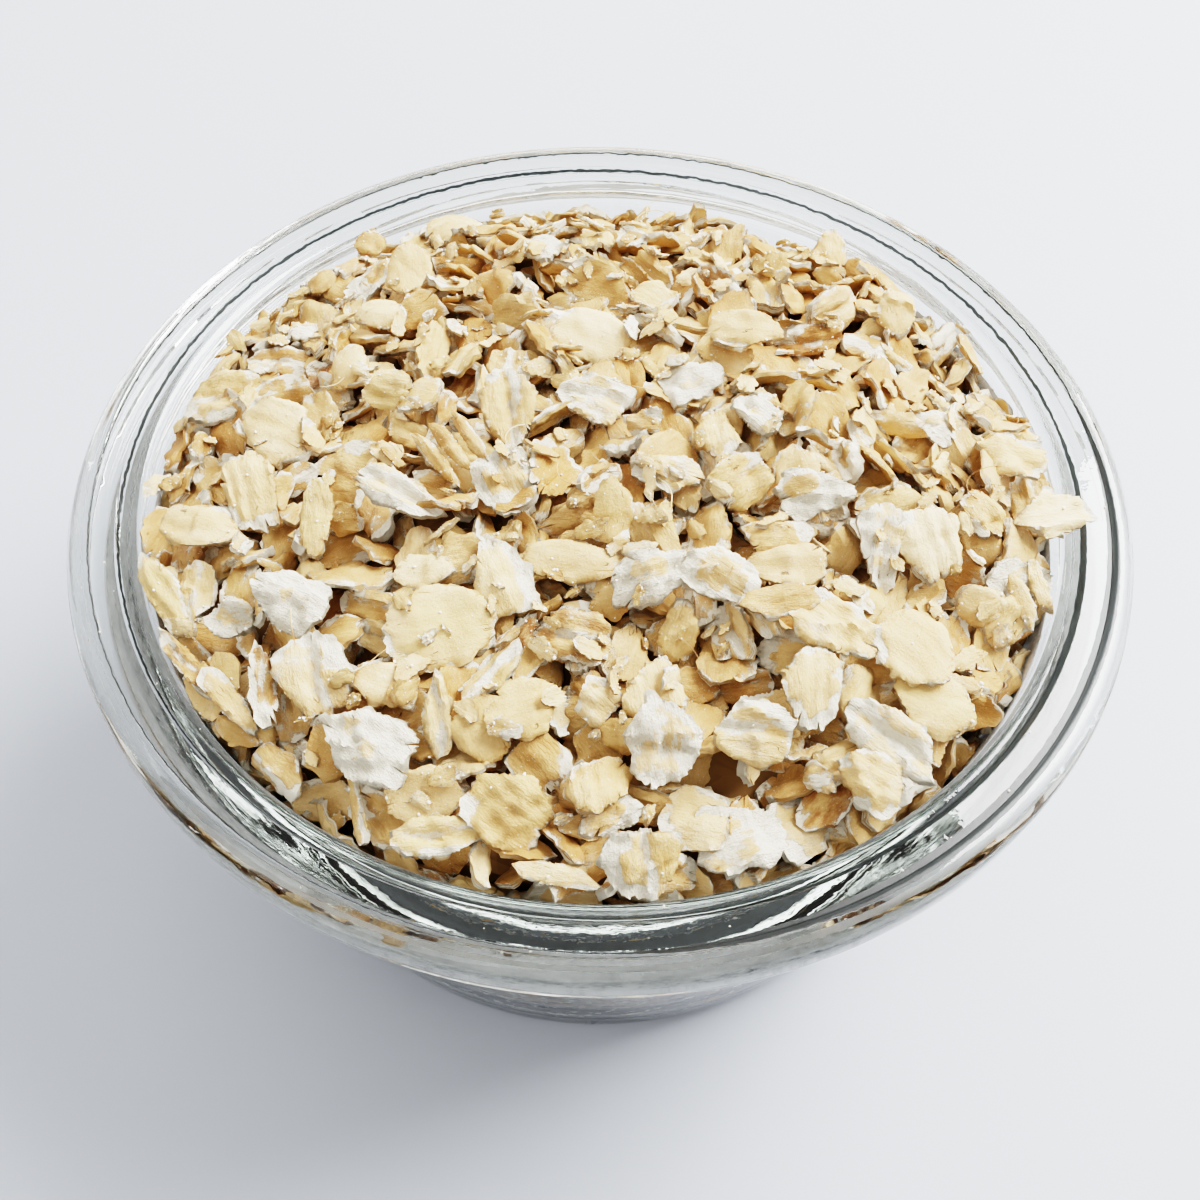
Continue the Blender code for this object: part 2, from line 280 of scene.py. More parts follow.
def mould_lines(tree, where, rings):
    """1 on the rings that the mould leaves round the rim, and 0 between them."""
    place = new_node(tree, "ShaderNodeSeparateXYZ")
    tree.links.new(where, place.inputs[0])
    x, y, z = place.outputs
    r = maths(tree, "SQRT", maths(tree, "MULTIPLY_ADD", x, x, maths(tree, "MULTIPLY", y, y)))
    r = maths(tree, "MULTIPLY_ADD", noise(tree, where, 900), LINE_WAVER, r)
    side = maths(tree, "MULTIPLY_ADD", x, FRONT_RIGHT[0], maths(tree, "MULTIPLY", y, FRONT_RIGHT[1]))
    side = maths(tree, "MULTIPLY_ADD", side, 1 / WIDEN_OVER, -WIDEN_FROM / WIDEN_OVER)
    side = maths(tree, "MINIMUM", maths(tree, "MAXIMUM", side, 0), 1)
    lines = None
    for radius, narrow, wide in rings:
        gap = maths(tree, "ABSOLUTE", maths(tree, "SUBTRACT", r, radius + LINE_WAVER / 2))
        line = maths(tree, "LESS_THAN", gap, maths(tree, "MULTIPLY_ADD", side, wide - narrow, narrow))
        lines = line if lines is None else maths(tree, "MAXIMUM", lines, line)
    return maths(tree, "MULTIPLY", lines, maths(tree, "GREATER_THAN", z, LINES_ABOVE))


def glass_material():
    """Clear glass with a grey-green depth. Its rings are rough, and the first two are tinted near black
    as painted dark reflection.
    """
    made, tree, shader = new_material("pressed_glass")
    shader.inputs["IOR"].default_value = 1.5
    shader.inputs["Transmission Weight"].default_value = 1.0
    depth = new_node(tree, "ShaderNodeVolumeAbsorption")
    depth.inputs["Color"].default_value = (0.6, 0.8, 0.72, 1)
    depth.inputs["Density"].default_value = 4
    tree.links.new(depth.outputs["Volume"], tree.nodes["Material Output"].inputs["Volume"])
    where = new_node(tree, "ShaderNodeTexCoord").outputs["Object"]
    # Painted dark reflection: on the first two rings the glass is tinted near black.
    dark_reflection_lines = mould_lines(tree, where, DARK_REFLECTION_LINES)
    lines = maths(tree, "MAXIMUM", dark_reflection_lines, mould_lines(tree, where, LIGHT_LINES))
    tint = new_node(tree, "ShaderNodeMix", data_type="RGBA")
    tint.inputs[6].default_value = CLEAR_TINT
    tint.inputs[7].default_value = DARK_REFLECTION_TINT
    tree.links.new(dark_reflection_lines, tint.inputs[0])
    tree.links.new(tint.outputs[2], shader.inputs["Base Color"])
    tree.links.new(maths(tree, "MULTIPLY", lines, LINE_ROUGHNESS), shader.inputs["Roughness"])
    ripple, grit = noise(tree, where, 420, 3), noise(tree, where, 5000)
    rough_line = maths(tree, "MULTIPLY", lines, maths(tree, "MULTIPLY", grit, 2.5))
    add_bump(tree, shader, maths(tree, "ADD", ripple, rough_line), 0.06)
    return made


bowl_mesh = turned_mesh("pressed_bowl", bowl_profile(), BOWL_STEPS, glass_unevenness)
bowl = add_piece("pressed_bowl", bowl_mesh)
bowl.data.shade_smooth()
bowl.data.set_sharp_from_angle(angle=math.radians(38))
bowl.data.materials.append(glass_material())
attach(bowl, "root")
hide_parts("glass_bowl")


# The heap: rolled oats filled to a little under the lip and heaped in a low crown. This is
# its packed middle, painted in dark browns as painted shade, which only shows deep in the gaps.

CROWN_HEIGHT = 62 * MM
EDGE_HEIGHT = 51.3 * MM
FRONT_RISE = 1.2 * MM
SIDE_RISE = 1.4 * MM
ROLL = 0.8 * MM
ROLL_LENGTH = 9 * MM
MIDDLE_DROP = 4.2 * MM
MIDDLE_INSET = 2.6 * MM
MIDDLE_LIFT = 1.6 * MM
MIDDLE_BUMPS = 0.35 * MM
MIDDLE_TOP = EDGE_HEIGHT - MIDDLE_DROP


def heap_top(x, y):
    """Height of the heap's surface, for numbers or arrays."""
    r = np.minimum(np.hypot(x, y) / MOUTH_RADIUS, 1)
    angle = np.arctan2(y, x)
    crown = (CROWN_HEIGHT - EDGE_HEIGHT) * (1 - r * r) ** 0.85
    lean = (SIDE_RISE * np.cos(2 * angle) - FRONT_RISE * np.sin(angle)) * r * r
    rolls = np.sin(x / ROLL_LENGTH + 1.1) * np.cos(y / ROLL_LENGTH - 0.4)
    return EDGE_HEIGHT + crown + lean + ROLL * rolls * (1 - 0.6 * r)


def middle_radius(z):
    return inner_radius(z) - MIDDLE_INSET


def middle_profile():
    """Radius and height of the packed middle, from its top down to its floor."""
    floor = FLOOR_HEIGHT + MIDDLE_LIFT
    corner = corner_centre(middle_radius, floor, FLOOR_ROUND)
    side = [(middle_radius(z), z) for z in np.linspace(corner[1] + MM, MIDDLE_TOP - MM, 30)]
    lid = [(middle_radius(MIDDLE_TOP) * (1 - i / 36), MIDDLE_TOP) for i in range(36)]
    under = [(0, floor)] + arc(corner, FLOOR_ROUND, -90, -WALL_TILT, 12)
    return (under + side + lid + [(0, MIDDLE_TOP)])[::-1]


def finish_oats(piece, material):
    """Gives a piece of the heap its material. All of them stand for the heap's one solid."""
    piece.data.materials.append(material)
    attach(piece, "root")
    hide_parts("rolled_oats")


middle = add_piece("packed_middle", turned_mesh("packed_middle", middle_profile(), 160))
bumps = random.Random(3)
for vertex in middle.data.vertices:
    x, y, z = vertex.co
    if z > MIDDLE_TOP - 0.01 * MM:
        vertex.co.z = float(heap_top(x, y)) - MIDDLE_DROP
    vertex.co += Vector([bumps.uniform(-MIDDLE_BUMPS, MIDDLE_BUMPS) for _ in range(3)])
middle_shade_paint, middle_tree, middle_shader = new_material("packed_middle", 0.9)
middle_where = new_node(middle_tree, "ShaderNodeTexCoord")
middle_cells = new_node(middle_tree, "ShaderNodeTexVoronoi")
middle_cells.inputs["Scale"].default_value = 230
middle_shade_mix = new_node(middle_tree, "ShaderNodeMix", data_type="RGBA")
# Painted shade: the middle's two dark browns stand for the shade deep in the gaps between flakes.
middle_shade_mix.inputs[6].default_value = (0.1, 0.045, 0.014, 1)
middle_shade_mix.inputs[7].default_value = (0.34, 0.2, 0.08, 1)
middle_tree.links.new(middle_where.outputs["Object"], middle_cells.inputs["Vector"])
middle_tree.links.new(middle_cells.outputs["Color"], middle_shade_mix.inputs[0])
middle_tree.links.new(middle_shade_mix.outputs[2], middle_shader.inputs["Base Color"])
finish_oats(middle, middle_shade_paint)


# The flakes: groats steamed and rolled flat, mostly 4 to 8 mm long and 0.7 to 1.2 mm thick.
# Each has waxy bran on its faces, torn open to white flour at the split and fringed edges.

# How each kind is shaped, in millimetres or as shares of its size. Pairs are ranges.
STYLES = {
    "smooth": dict(
        length=(3.8, 8.0), aspect=(0.55, 0.8), thick=0.68, lobes=0.05, fringe=0.014, breaks=(0, 1),
        splits=(0, 1), split_depth=(0.08, 0.3), folds=(0, 1), bend=(0.005, 0.06), waves=0.16,
        lumps=0.05, rough=0.015, crease=0.0, ridges=0.04, cover=(0.95, 1.4)),
    "cracked": dict(
        length=(3.8, 8.2), aspect=(0.52, 0.85), thick=0.9, lobes=0.1, fringe=0.022, breaks=(1, 2),
        splits=(1, 3), split_depth=(0.12, 0.45), folds=(2, 4), bend=(-0.02, 0.06), waves=0.24,
        lumps=0.12, rough=0.04, crease=0, ridges=0.1, cover=(0.65, 1.1)),
    "floury": dict(
        length=(3.8, 7.8), aspect=(0.48, 0.78), thick=1.15, lobes=0.1, fringe=0.025, breaks=(1, 2),
        splits=(1, 3), split_depth=(0.1, 0.4), folds=(2, 4), bend=(-0.02, 0.05), waves=0.24,
        lumps=0.14, rough=0.06, crease=0.3, ridges=0.03, cover=(0.3, 0.75)),
    "creased": dict(
        length=(4.4, 8.2), aspect=(0.4, 0.62), thick=1.1, lobes=0.05, fringe=0.025, breaks=(0, 1),
        splits=(0, 2), split_depth=(0.08, 0.3), folds=(1, 2), bend=(0.0, 0.06), waves=0.16, lumps=0.08,
        rough=0.035, crease=0.6, ridges=0.07, cover=(0.65, 1.1)),
    "ridged": dict(
        length=(4.4, 8.2), aspect=(0.5, 0.85), thick=0.9, lobes=0.08, fringe=0.03, breaks=(0, 2),
        splits=(1, 3), split_depth=(0.08, 0.3), folds=(0, 2), bend=(0.0, 0.06), waves=0.16, lumps=0.07,
        rough=0.025, crease=0, ridges=0.15, cover=(0.7, 1.1)),
    "brown": dict(
        length=(3.6, 7.0), aspect=(0.4, 0.66), thick=0.95, lobes=0.07, fringe=0.04, breaks=(0, 2),
        splits=(1, 3), split_depth=(0.1, 0.3), folds=(1, 2), bend=(-0.02, 0.05), waves=0.2, lumps=0.12,
        rough=0.07, crease=0.4, ridges=0.1, cover=(0.6, 1.0)),
    "sliver": dict(
        length=(2.6, 6.8), aspect=(0.2, 0.42), thick=0.75, lobes=0.06, fringe=0.03, breaks=(0, 1),
        splits=(0, 1), split_depth=(0.1, 0.3), folds=(0, 1), bend=(-0.03, 0.05), waves=0.16,
        lumps=0.07, rough=0.04, crease=0, ridges=0.08, cover=(0.7, 1.3)),
    "bit": dict(
        length=(1.0, 3.8), aspect=(0.25, 0.7), thick=0.5, lobes=0.16, fringe=0.07, breaks=(1, 2),
        splits=(0, 1), split_depth=(0.1, 0.3), folds=(0, 1), bend=(-0.03, 0.05), waves=0.1, lumps=0.05,
        rough=0.05, crease=0, ridges=0, cover=(0.9, 2)),
}
# The distance between the points of a flake's mesh: near, under the top, at the wall, and in bits.
FINE, MEDIUM, COARSE, BIT_FINE = 0.38, 0.75, 1.35, 0.36


def rough_waves(draw, plan, wavelength, count):
    """Smooth unevenness between about -1 and 1 over the plan."""
    total = np.zeros(len(plan))
    for _ in range(count):
        angle = draw.uniform(0, math.tau)
        pitch = math.tau / (wavelength * draw.uniform(0.7, 1.6))
        along = plan[:, 0] * math.cos(angle) + plan[:, 1] * math.sin(angle)
        total += np.sin(along * pitch + draw.uniform(0, math.tau))
    return total / math.sqrt(count)


def broken_outline(draw, length, width, spacing, style):
    """An oval with one end narrower, uneven lobes, split edges and fringed ends."""
    power = draw.uniform(1.85, 2.35)
    narrow = draw.uniform(-0.3, 0.3)
    waves = []
    for k in (2, 3, 4, 5, 7):
        waves.append((k, draw.uniform(0.3, 1) * style["lobes"] / k**0.4, draw.uniform(0, math.tau)))
    fringe = []
    for k in (9, 13, 19, 27):
        fringe.append((k, draw.uniform(0.3, 1) * style["fringe"], draw.uniform(0, math.tau)))
    splits = []
    for _ in range(draw.randint(*style["splits"])):
        angle = draw.choice((0, math.pi)) + draw.gauss(0, 0.6)
        splits.append((angle, draw.uniform(*style["split_depth"]), draw.uniform(0.02, 0.07)))
    breaks = []
    for _ in range(draw.randint(*style["breaks"])):
        angle = draw.uniform(0, math.tau)
        across = math.hypot(length / 2 * math.cos(angle), width / 2 * math.sin(angle))
        breaks.append((math.cos(angle), math.sin(angle), across * draw.uniform(0.62, 0.88)))
    points = max(12, int(math.pi * (length + width) / 2 / (spacing * 0.62)))
    entries = []
    for i in range(points):
        angle = math.tau * (i + draw.uniform(-0.3, 0.3)) / points
        if all(abs((angle - s[0] + math.pi) % math.tau - math.pi) > s[2] * 1.3 for s in splits):
            entries.append((angle, 0.0))
    for angle, depth, half in splits:
        deepest = angle + draw.uniform(-0.3, 0.3) * half
        entries += [(angle - half, 0.0), (deepest, depth), (angle + half, 0.0)]
    outline = []
    for angle, depth in sorted((a % math.tau, d) for a, d in entries):
        c, s = math.cos(angle), math.sin(angle)
        end = 0.25 + c * c
        r = (abs(2 * c / length) ** power + abs(2 * s / width) ** power) ** (-1 / power)
        r *= 1 + sum(size * math.cos(k * angle + phase) for k, size, phase in waves)
        r *= 1 + end * sum(size * math.cos(k * angle + phase) for k, size, phase in fringe)
        r *= (1 + style["fringe"] * end * draw.uniform(-1, 1)) * (1 - depth)
        for across, along, reach in breaks:
            if r * (c * across + s * along) > reach:
                r = reach / (c * across + s * along) + draw.uniform(-0.1, 0.1)
        r += draw.uniform(-0.06, 0.06)
        outline.append((r * c, r * s * (1 + narrow * 2 * r * c / length)))
    return np.array(outline)


def rim_distance(plan, outline):
    """How far each point of the plan is from the outline."""
    along = np.roll(outline, -1, axis=0) - outline
    gap = plan[:, None, :] - outline[None]
    share = (gap * along).sum(2) / np.maximum((along**2).sum(1), 1e-12)
    near = gap - np.clip(share, 0, 1)[..., None] * along
    return np.sqrt((near**2).sum(2).min(1))


def inside_outline(plan, outline):
    """True for each point of the plan that lies inside the outline."""
    start, end = outline, np.roll(outline, -1, axis=0)
    x, y = plan[:, None, 0], plan[:, None, 1]
    spans = (start[:, 1] > y) != (end[:, 1] > y)
    rise = np.where(end[:, 1] == start[:, 1], 1e-12, end[:, 1] - start[:, 1])
    crossing = start[:, 0] + (y - start[:, 1]) * (end[:, 0] - start[:, 0]) / rise
    return (spans & (x < crossing)).sum(1) % 2 == 1


def staggered_points(draw, outline, spacing, stray):
    """Points in staggered rows, each a little astray, that lie inside the outline."""
    low, high = outline.min(0), outline.max(0)
    grid = []
    for row in range(int((high[1] - low[1]) / (spacing * 0.866)) + 2):
        for column in range(int((high[0] - low[0]) / spacing) + 2):
            x = low[0] + spacing * (column + row % 2 / 2 + draw.uniform(-stray, stray))
            y = low[1] + spacing * (row * 0.866 + draw.uniform(-stray, stray))
            grid.append((x, y))
    grid = np.array(grid)
    return grid[inside_outline(grid, outline)]


def filled_plan(draw, outline, spacing):
    """Points and triangles that fill the outline, and which of the points run round it."""
    grid = staggered_points(draw, outline, spacing, 0.14)
    grid = grid[rim_distance(grid, outline) > spacing * 0.5]
    count = len(outline)
    given = [Vector(p) for p in np.concatenate((outline, grid))]
    edges = [(i, (i + 1) % count) for i in range(count)]
    points, _, faces, origins, _, _ = delaunay_2d_cdt(given, edges, [], 1, 1e-6)
    place = {source: i for i, sources in enumerate(origins) for source in sources}
    loop = np.array([place[i] for i in range(count)])
    return np.array([tuple(p) for p in points]), np.array([tuple(f) for f in faces]), loop


def torn_skin(draw, plan, length, width, style):
    """0 where the bran skin is whole and 1 where it is torn off, mostly along one side of the flake."""
    cover = draw.uniform(*style["cover"])
    bearing = draw.uniform(0, math.tau)
    shift = draw.uniform(0, 0.5)
    x = plan[:, 0] / (length / 2) - shift * math.cos(bearing)
    y = plan[:, 1] / (width / 2) - shift * math.sin(bearing)
    angle = np.arctan2(y, x)
    lobes = [(k, draw.uniform(-0.16, 0.16), draw.uniform(0, math.tau)) for k in (1, 2, 3, 5, 8)]
    reach = cover * (1 + shift * 0.6 + sum(size * np.cos(k * angle + phase) for k, size, phase in lobes))
    bare = np.clip((np.hypot(x, y) - reach) / 0.08 + 0.5, 0, 1)
    if style["crease"] > 0.3:
        furrow = plan[:, 1] - 0.1 * width - 0.3 * np.sin(plan[:, 0] * 0.8 + lobes[0][2])
        bare = np.maximum(bare, np.exp(-((furrow / 0.5) ** 2)) * 0.9)
    return bare


def relief(draw, plan, length, width, style):
    """How the flake bends, folds, cracks, creases and ripples out of its plane."""
    x, y = plan[:, 0], plan[:, 1]
    rise = -draw.uniform(*style["bend"]) * x**2 - draw.uniform(*style["bend"]) * 0.8 * y**2
    rise += draw.uniform(-0.035, 0.035) * x * y
    rise += style["waves"] * rough_waves(draw, plan, 5.5, 4)
    rise += style["lumps"] * rough_waves(draw, plan, 2.4, 5)
    for _ in range(draw.randint(*style["folds"])):
        angle = draw.uniform(0, math.tau)
        past = x * math.cos(angle) + y * math.sin(angle) - draw.uniform(-0.25, 0.35) * width
        past += 0.25 * np.sin((y * math.cos(angle) - x * math.sin(angle)) * draw.uniform(0.8, 2))
        step = np.clip(past / 0.25 + 0.5, 0, 1)
        rise += draw.uniform(-0.5, 0.5) * step + draw.uniform(-0.28, 0.15) * np.maximum(past, 0)
    if style["crease"]:
        off = y - 0.25 * np.sin(x * 0.5 + draw.uniform(0, 6))
        rise -= style["crease"] * np.exp(-((off / 0.45) ** 2)) * (1 - (2 * x / length) ** 2 * 0.6)
    if style["ridges"]:
        across = y + 0.3 * np.sin(0.7 * x + draw.uniform(0, 6))
        across = across + 0.4 * np.sin(1.1 * y + draw.uniform(0, 6))
        furrows = np.sin(math.tau * across / draw.uniform(1.2, 1.9))
        rise += style["ridges"] * furrows * np.cos(x / length * 2)
    return rise - rise.mean()


class Shape:
    """One flake's form, in millimetres about its middle: two faces and the edge between them.

    The long sides are rounded and keep their skin, and the ends are frayed and blunt."""

    def __init__(self, draw, length, width, spacing, style):
        outline = broken_outline(draw, length, width, spacing, style)
        plan, triangles, loop = filled_plan(draw, outline, spacing)
        rim = rim_distance(plan, outline)
        towards_end = np.abs(plan[:, 0]) / (length / 2) + 0.3 * rough_waves(draw, plan, 3.0, 3)
        frayed = np.clip((towards_end - 0.5) / 0.3, 0, 1)
        middle = relief(draw, plan, length, width, style)
        rounding = 0.45 - 0.3 * frayed
        blunt = 0.38 + 0.37 * frayed
        rounded = np.sqrt(1 - (1 - np.minimum(rim / rounding, 1)) ** 2)
        half = style["thick"] / 2 * (blunt + (1 - blunt) * rounded)
        crumbly = rough_waves(draw, plan, 1.3, 6)
        faces, bare = [], []
        for side in (1, -1):
            torn = torn_skin(draw, plan, length, width, style)
            gritty = np.array([draw.uniform(-1, 1) for _ in plan])
            uneven = (style["rough"] + 0.06 * torn) * crumbly + 0.05 * torn * gritty
            faces.append(middle + side * (half - 0.2 * torn * (rim > 0.05)) + uneven)
            bare.append(torn)
        out = plan / np.maximum(np.hypot(plan[:, 0], plan[:, 1]), 0.01)[:, None]
        spill = np.maximum(0, rough_waves(draw, plan, 2.2, 4)) * 0.3 * np.exp(-rim / 0.3)
        count = len(plan)
        upper = np.column_stack((plan, faces[0]))
        lower = np.column_stack((plan + out * spill[:, None], faces[1]))
        self.points = np.concatenate((upper, lower))
        self.rim = np.tile(rim + 0.9 * (1 - frayed), 2)
        self.bare = np.concatenate(bare)
        after = np.roll(loop, -1)
        walls = [np.column_stack((loop, loop + count, after + count))]
        walls += [np.column_stack((loop, after + count, after))]
        self.triangles = np.concatenate([triangles, triangles[:, ::-1] + count] + walls)
        feelers = staggered_points(draw, outline, 0.4, 0)
        feelers = np.concatenate((feelers, outline * 0.995)) if len(feelers) else outline * 0.995
        nearest = ((feelers[:, None, :] - plan[None, :, :]) ** 2).sum(2).argmin(1)
        self.low = np.column_stack((feelers, faces[1][nearest]))
        self.high = np.column_stack((feelers, faces[0][nearest]))


def make_shapes(draw, kind, count, spacing):
    """Shapes of one kind, from its shortest to its longest."""
    style = STYLES[kind]
    shortest, longest = style["length"]
    shapes = []
    for i in range(count):
        length = shortest + (longest - shortest) * (i + 0.5) / count
        shapes.append(Shape(draw, length, length * draw.uniform(*style["aspect"]), spacing, style))
    return shapes


class Ground:
    """Heights in millimetres on a square grid, on which flakes come to rest."""

    STEP = 0.4

    def __init__(self, low_x, low_y, heights):
        self.low = low_x, low_y
        self.heights = heights

    def cells(self, x, y):
        columns = np.rint((x - self.low[0]) / self.STEP).astype(int) % self.heights.shape[1]
        rows = np.clip(np.rint((y - self.low[1]) / self.STEP).astype(int), 0, self.heights.shape[0] - 1)
        return rows, columns

    def at(self, x, y):
        return self.heights[self.cells(x, y)]


def resting_plane(x, y, heights):
    """Slopes of the lowest plane that clears these points and is steady about the origin."""
    corners = np.array([(1, 1e3, 0.0), (1, -5e2, 866.0), (1, -5e2, -866.0)])
    levels = np.array([-1e4, -1e4, -1e4])
    slopes = np.zeros(3)
    for _ in range(50):
        slopes = np.linalg.solve(corners, levels)
        above = heights - (slopes[0] + slopes[1] * x + slopes[2] * y)
        worst = int(above.argmax())
        if above[worst] < 1e-5:
            break
        balance = np.linalg.solve(corners.T, np.array((1, 0, 0)))
        share = np.linalg.solve(corners.T, np.array((1, x[worst], y[worst])))
        ratio = np.where(share > 1e-9, balance / np.maximum(share, 1e-9), np.inf)
        leaving = int(ratio.argmin())
        corners[leaving] = (1, x[worst], y[worst])
        levels[leaving] = heights[worst]
    return slopes[1], slopes[2]


class Flake:
    """A shape where it came to rest, with its size, its turn and the skin it has."""

    def __init__(self, shape, kind, scale, over, skin, seed):
        self.shape = shape
        self.kind = kind
        self.scale = np.array((1, over, over)) * scale
        self.under, self.upper = (shape.low, shape.high) if over > 0 else (shape.high, shape.low)
        self.skin = skin
        self.seed = seed
        self.turn = np.eye(3)
        self.place = np.zeros(3)

    def lean(self, heading, slope_x, slope_y):
        """Lays the flake on a slope, with its length pointing along the heading."""
        up = np.array((-slope_x, -slope_y, 1.0))
        up /= np.linalg.norm(up)
        along = np.array((math.cos(heading), math.sin(heading), 0.0))
        along -= up * along.dot(up)
        along /= np.linalg.norm(along)
        self.turn = np.column_stack((along, np.cross(up, along), up))

    def rest(self, ground, x, y, heading, steepest, slope=None, sink=0.04):
        """Lets the flake down at x, y until it rests on three points, or keeps a given slope."""
        under = self.under * self.scale
        for _ in range(0 if slope else 3):
            slope = slope or (0.0, 0.0)
            self.lean(heading, *slope)
            spread = under @ self.turn.T
            heights = ground.at(x + spread[:, 0], y + spread[:, 1])
            own = spread[:, 2] - slope[0] * spread[:, 0] - slope[1] * spread[:, 1]
            slope = resting_plane(spread[:, 0], spread[:, 1], heights - own)
            steep = math.hypot(*slope)
            if steep > steepest:
                slope = (slope[0] * steepest / steep, slope[1] * steepest / steep)
        self.lean(heading, *slope)
        spread = under @ self.turn.T
        heights = ground.at(x + spread[:, 0], y + spread[:, 1])
        self.place = np.array((x, y, float((heights - spread[:, 2]).max()) - sink))

    def placed(self, points):
        """Points of the shape, at the places where the resting flake has them."""
        return (points * self.scale) @ self.turn.T + self.place

    def cover(self, ground):
        """Raises the ground to the flake's upper face."""
        tops = self.placed(self.upper)
        np.maximum.at(ground.heights, ground.cells(tops[:, 0], tops[:, 1]), tops[:, 2])


def raw_mesh(name, points, triangles):
    """A mesh from arrays of points and triangles."""
    mesh = bpy.data.meshes.new(name)
    mesh.vertices.add(len(points))
    mesh.vertices.foreach_set("co", points.ravel())
    mesh.loops.add(triangles.size)
    mesh.loops.foreach_set("vertex_index", triangles.ravel())
    mesh.polygons.add(len(triangles))
    mesh.polygons.foreach_set("loop_start", np.arange(0, triangles.size, 3))
    mesh.update(calc_edges=True)
    return mesh


def joined_flakes(name, flakes):
    """One mesh of many flakes. Its attributes hold each point's place on its flake, its distance
    from the rim, how torn the skin is there, and the flake's skin: tone, flour, brown and olive."""
    points, triangles, grain, rims, bare, skins = [], [], [], [], [], []
    base = 0
    for flake in flakes:
        own = flake.shape.points
        count = len(own)
        points.append(flake.placed(own) * MM)
        triangles.append(flake.shape.triangles + base)
        face = np.arange(count) >= count / 2
        grain.append(np.column_stack((own[:, 0], own[:, 1], flake.seed + 7 * face)))
        rims.append(flake.shape.rim)
        bare.append(flake.shape.bare)
        skins.append(np.tile(flake.skin, (count, 1)))
        base += count
    mesh = raw_mesh(name, np.concatenate(points), np.concatenate(triangles))
    fields = (("grain", "FLOAT_VECTOR", "vector", grain), ("rim", "FLOAT", "value", rims),
              ("bare", "FLOAT", "value", bare), ("skin", "FLOAT_COLOR", "color", skins))
    for label, kind, field, values in fields:
        attribute = mesh.attributes.new(label, kind, "POINT")
        attribute.data.foreach_set(field, np.concatenate(values).ravel())
    mesh.shade_smooth()
    mesh.set_sharp_from_angle(angle=math.radians(50))
    return add_piece(name, mesh)


def new_group(name, inputs, outputs):
    """A shader node group with named sockets, its input node and its output node."""
    group = bpy.data.node_groups.new(name, "ShaderNodeTree")
    for label, kind in inputs:
        group.interface.new_socket(label, in_out="INPUT", socket_type="NodeSocket" + kind)
    for label, kind in outputs:
        group.interface.new_socket(label, in_out="OUTPUT", socket_type="NodeSocket" + kind)
    return group, group.nodes.new("NodeGroupInput"), group.nodes.new("NodeGroupOutput")


def smooth_step(tree, value, low, high):
    """0 up to the low value and 1 from the high one, with a smooth rise between them."""
    node = new_node(tree, "ShaderNodeMapRange", interpolation_type="SMOOTHSTEP")
    for socket, given in zip(node.inputs, (value, low, high)):
        feed(tree, socket, given)
    return node.outputs["Result"]


def blend(tree, share, first, second):
    """The first colour where the share is 0 and the second where it is 1, as screen colours."""
    node = new_node(tree, "ShaderNodeMix", data_type="RGBA")
    for socket, given in ((node.inputs[0], share), (node.inputs[6], first), (node.inputs[7], second)):
        feed(tree, socket, given)
    return node.outputs[2]


# Screen colours. Those of the bran run from its darkest tone, 0, to its lightest, 1.
BRAN_SHADES = ((0.0, (186, 138, 80)), (0.3, (207, 167, 111)), (0.6, (223, 188, 136)),
               (1.0, (236, 210, 164)))
OLIVE_SHADE, BROWN_SHADE = (216, 184, 126), (150, 98, 50)
# The crack colour is painted shade: the dark brown of the shadow in hair-thin cracks.
FLOUR_SHADE, CRACK_SHADOW = (255, 246, 224), (110, 74, 40)


def bran_colour_group():
    """The skin's colour: tan to cream in clouds and lengthwise streaks, olive clouds, brown stains."""
    names = (("Grain", "Vector"), ("Rim", "Float"), ("Tone", "Float"), ("Brown", "Float"),
             ("Olive", "Float"))
    group, given, result = new_group("bran_colour", names, (("Color", "Color"),))
    grain, rim, tone, brown, olive = given.outputs[:5]
    clouds = noise(group, grain, 0.32, 3)
    streaks = noise(group, grain, 1.8, 4, 0.65, (0.22, 1.5, 1))
    speckle = noise(group, grain, 6, 3, 0.7, (0.6, 1.2, 1))
    for pattern, share in ((clouds, 0.9), (streaks, 0.36), (speckle, 0.5)):
        tone = maths(group, "ADD", tone, maths(group, "MULTIPLY_ADD", pattern, share, -share / 2))
    ramp = new_node(group, "ShaderNodeValToRGB")
    while len(ramp.color_ramp.elements) < len(BRAN_SHADES):
        ramp.color_ramp.elements.new(0.5)
    for element, (at, shade) in zip(ramp.color_ramp.elements, BRAN_SHADES):
        element.position = at
        element.color = (*[paint(v) for v in shade], 1)
    group.links.new(tone, ramp.inputs["Fac"])
    olive = maths(group, "MULTIPLY", smooth_step(group, noise(group, grain, 0.23, 2), 0.3, 0.62), olive)
    colour = blend(group, olive, ramp.outputs["Color"], OLIVE_SHADE)
    stains = smooth_step(group, noise(group, grain, 0.8, 4, 0.65, (0.5, 1, 1)), 0.36, 0.62)
    brown = maths(group, "MULTIPLY", stains, brown)
    near_rim = maths(group, "SUBTRACT", 1.0, smooth_step(group, rim, 0.1, 0.9))
    specks = smooth_step(group, noise(group, grain, 2.6, 3, 0.7), 0.5, 0.62)
    toasted = maths(group, "MULTIPLY", maths(group, "MULTIPLY", near_rim, specks), 0.75)
    brown = maths(group, "MAXIMUM", brown, toasted)
    group.links.new(blend(group, brown, colour, BROWN_SHADE), result.inputs["Color"])
    return group


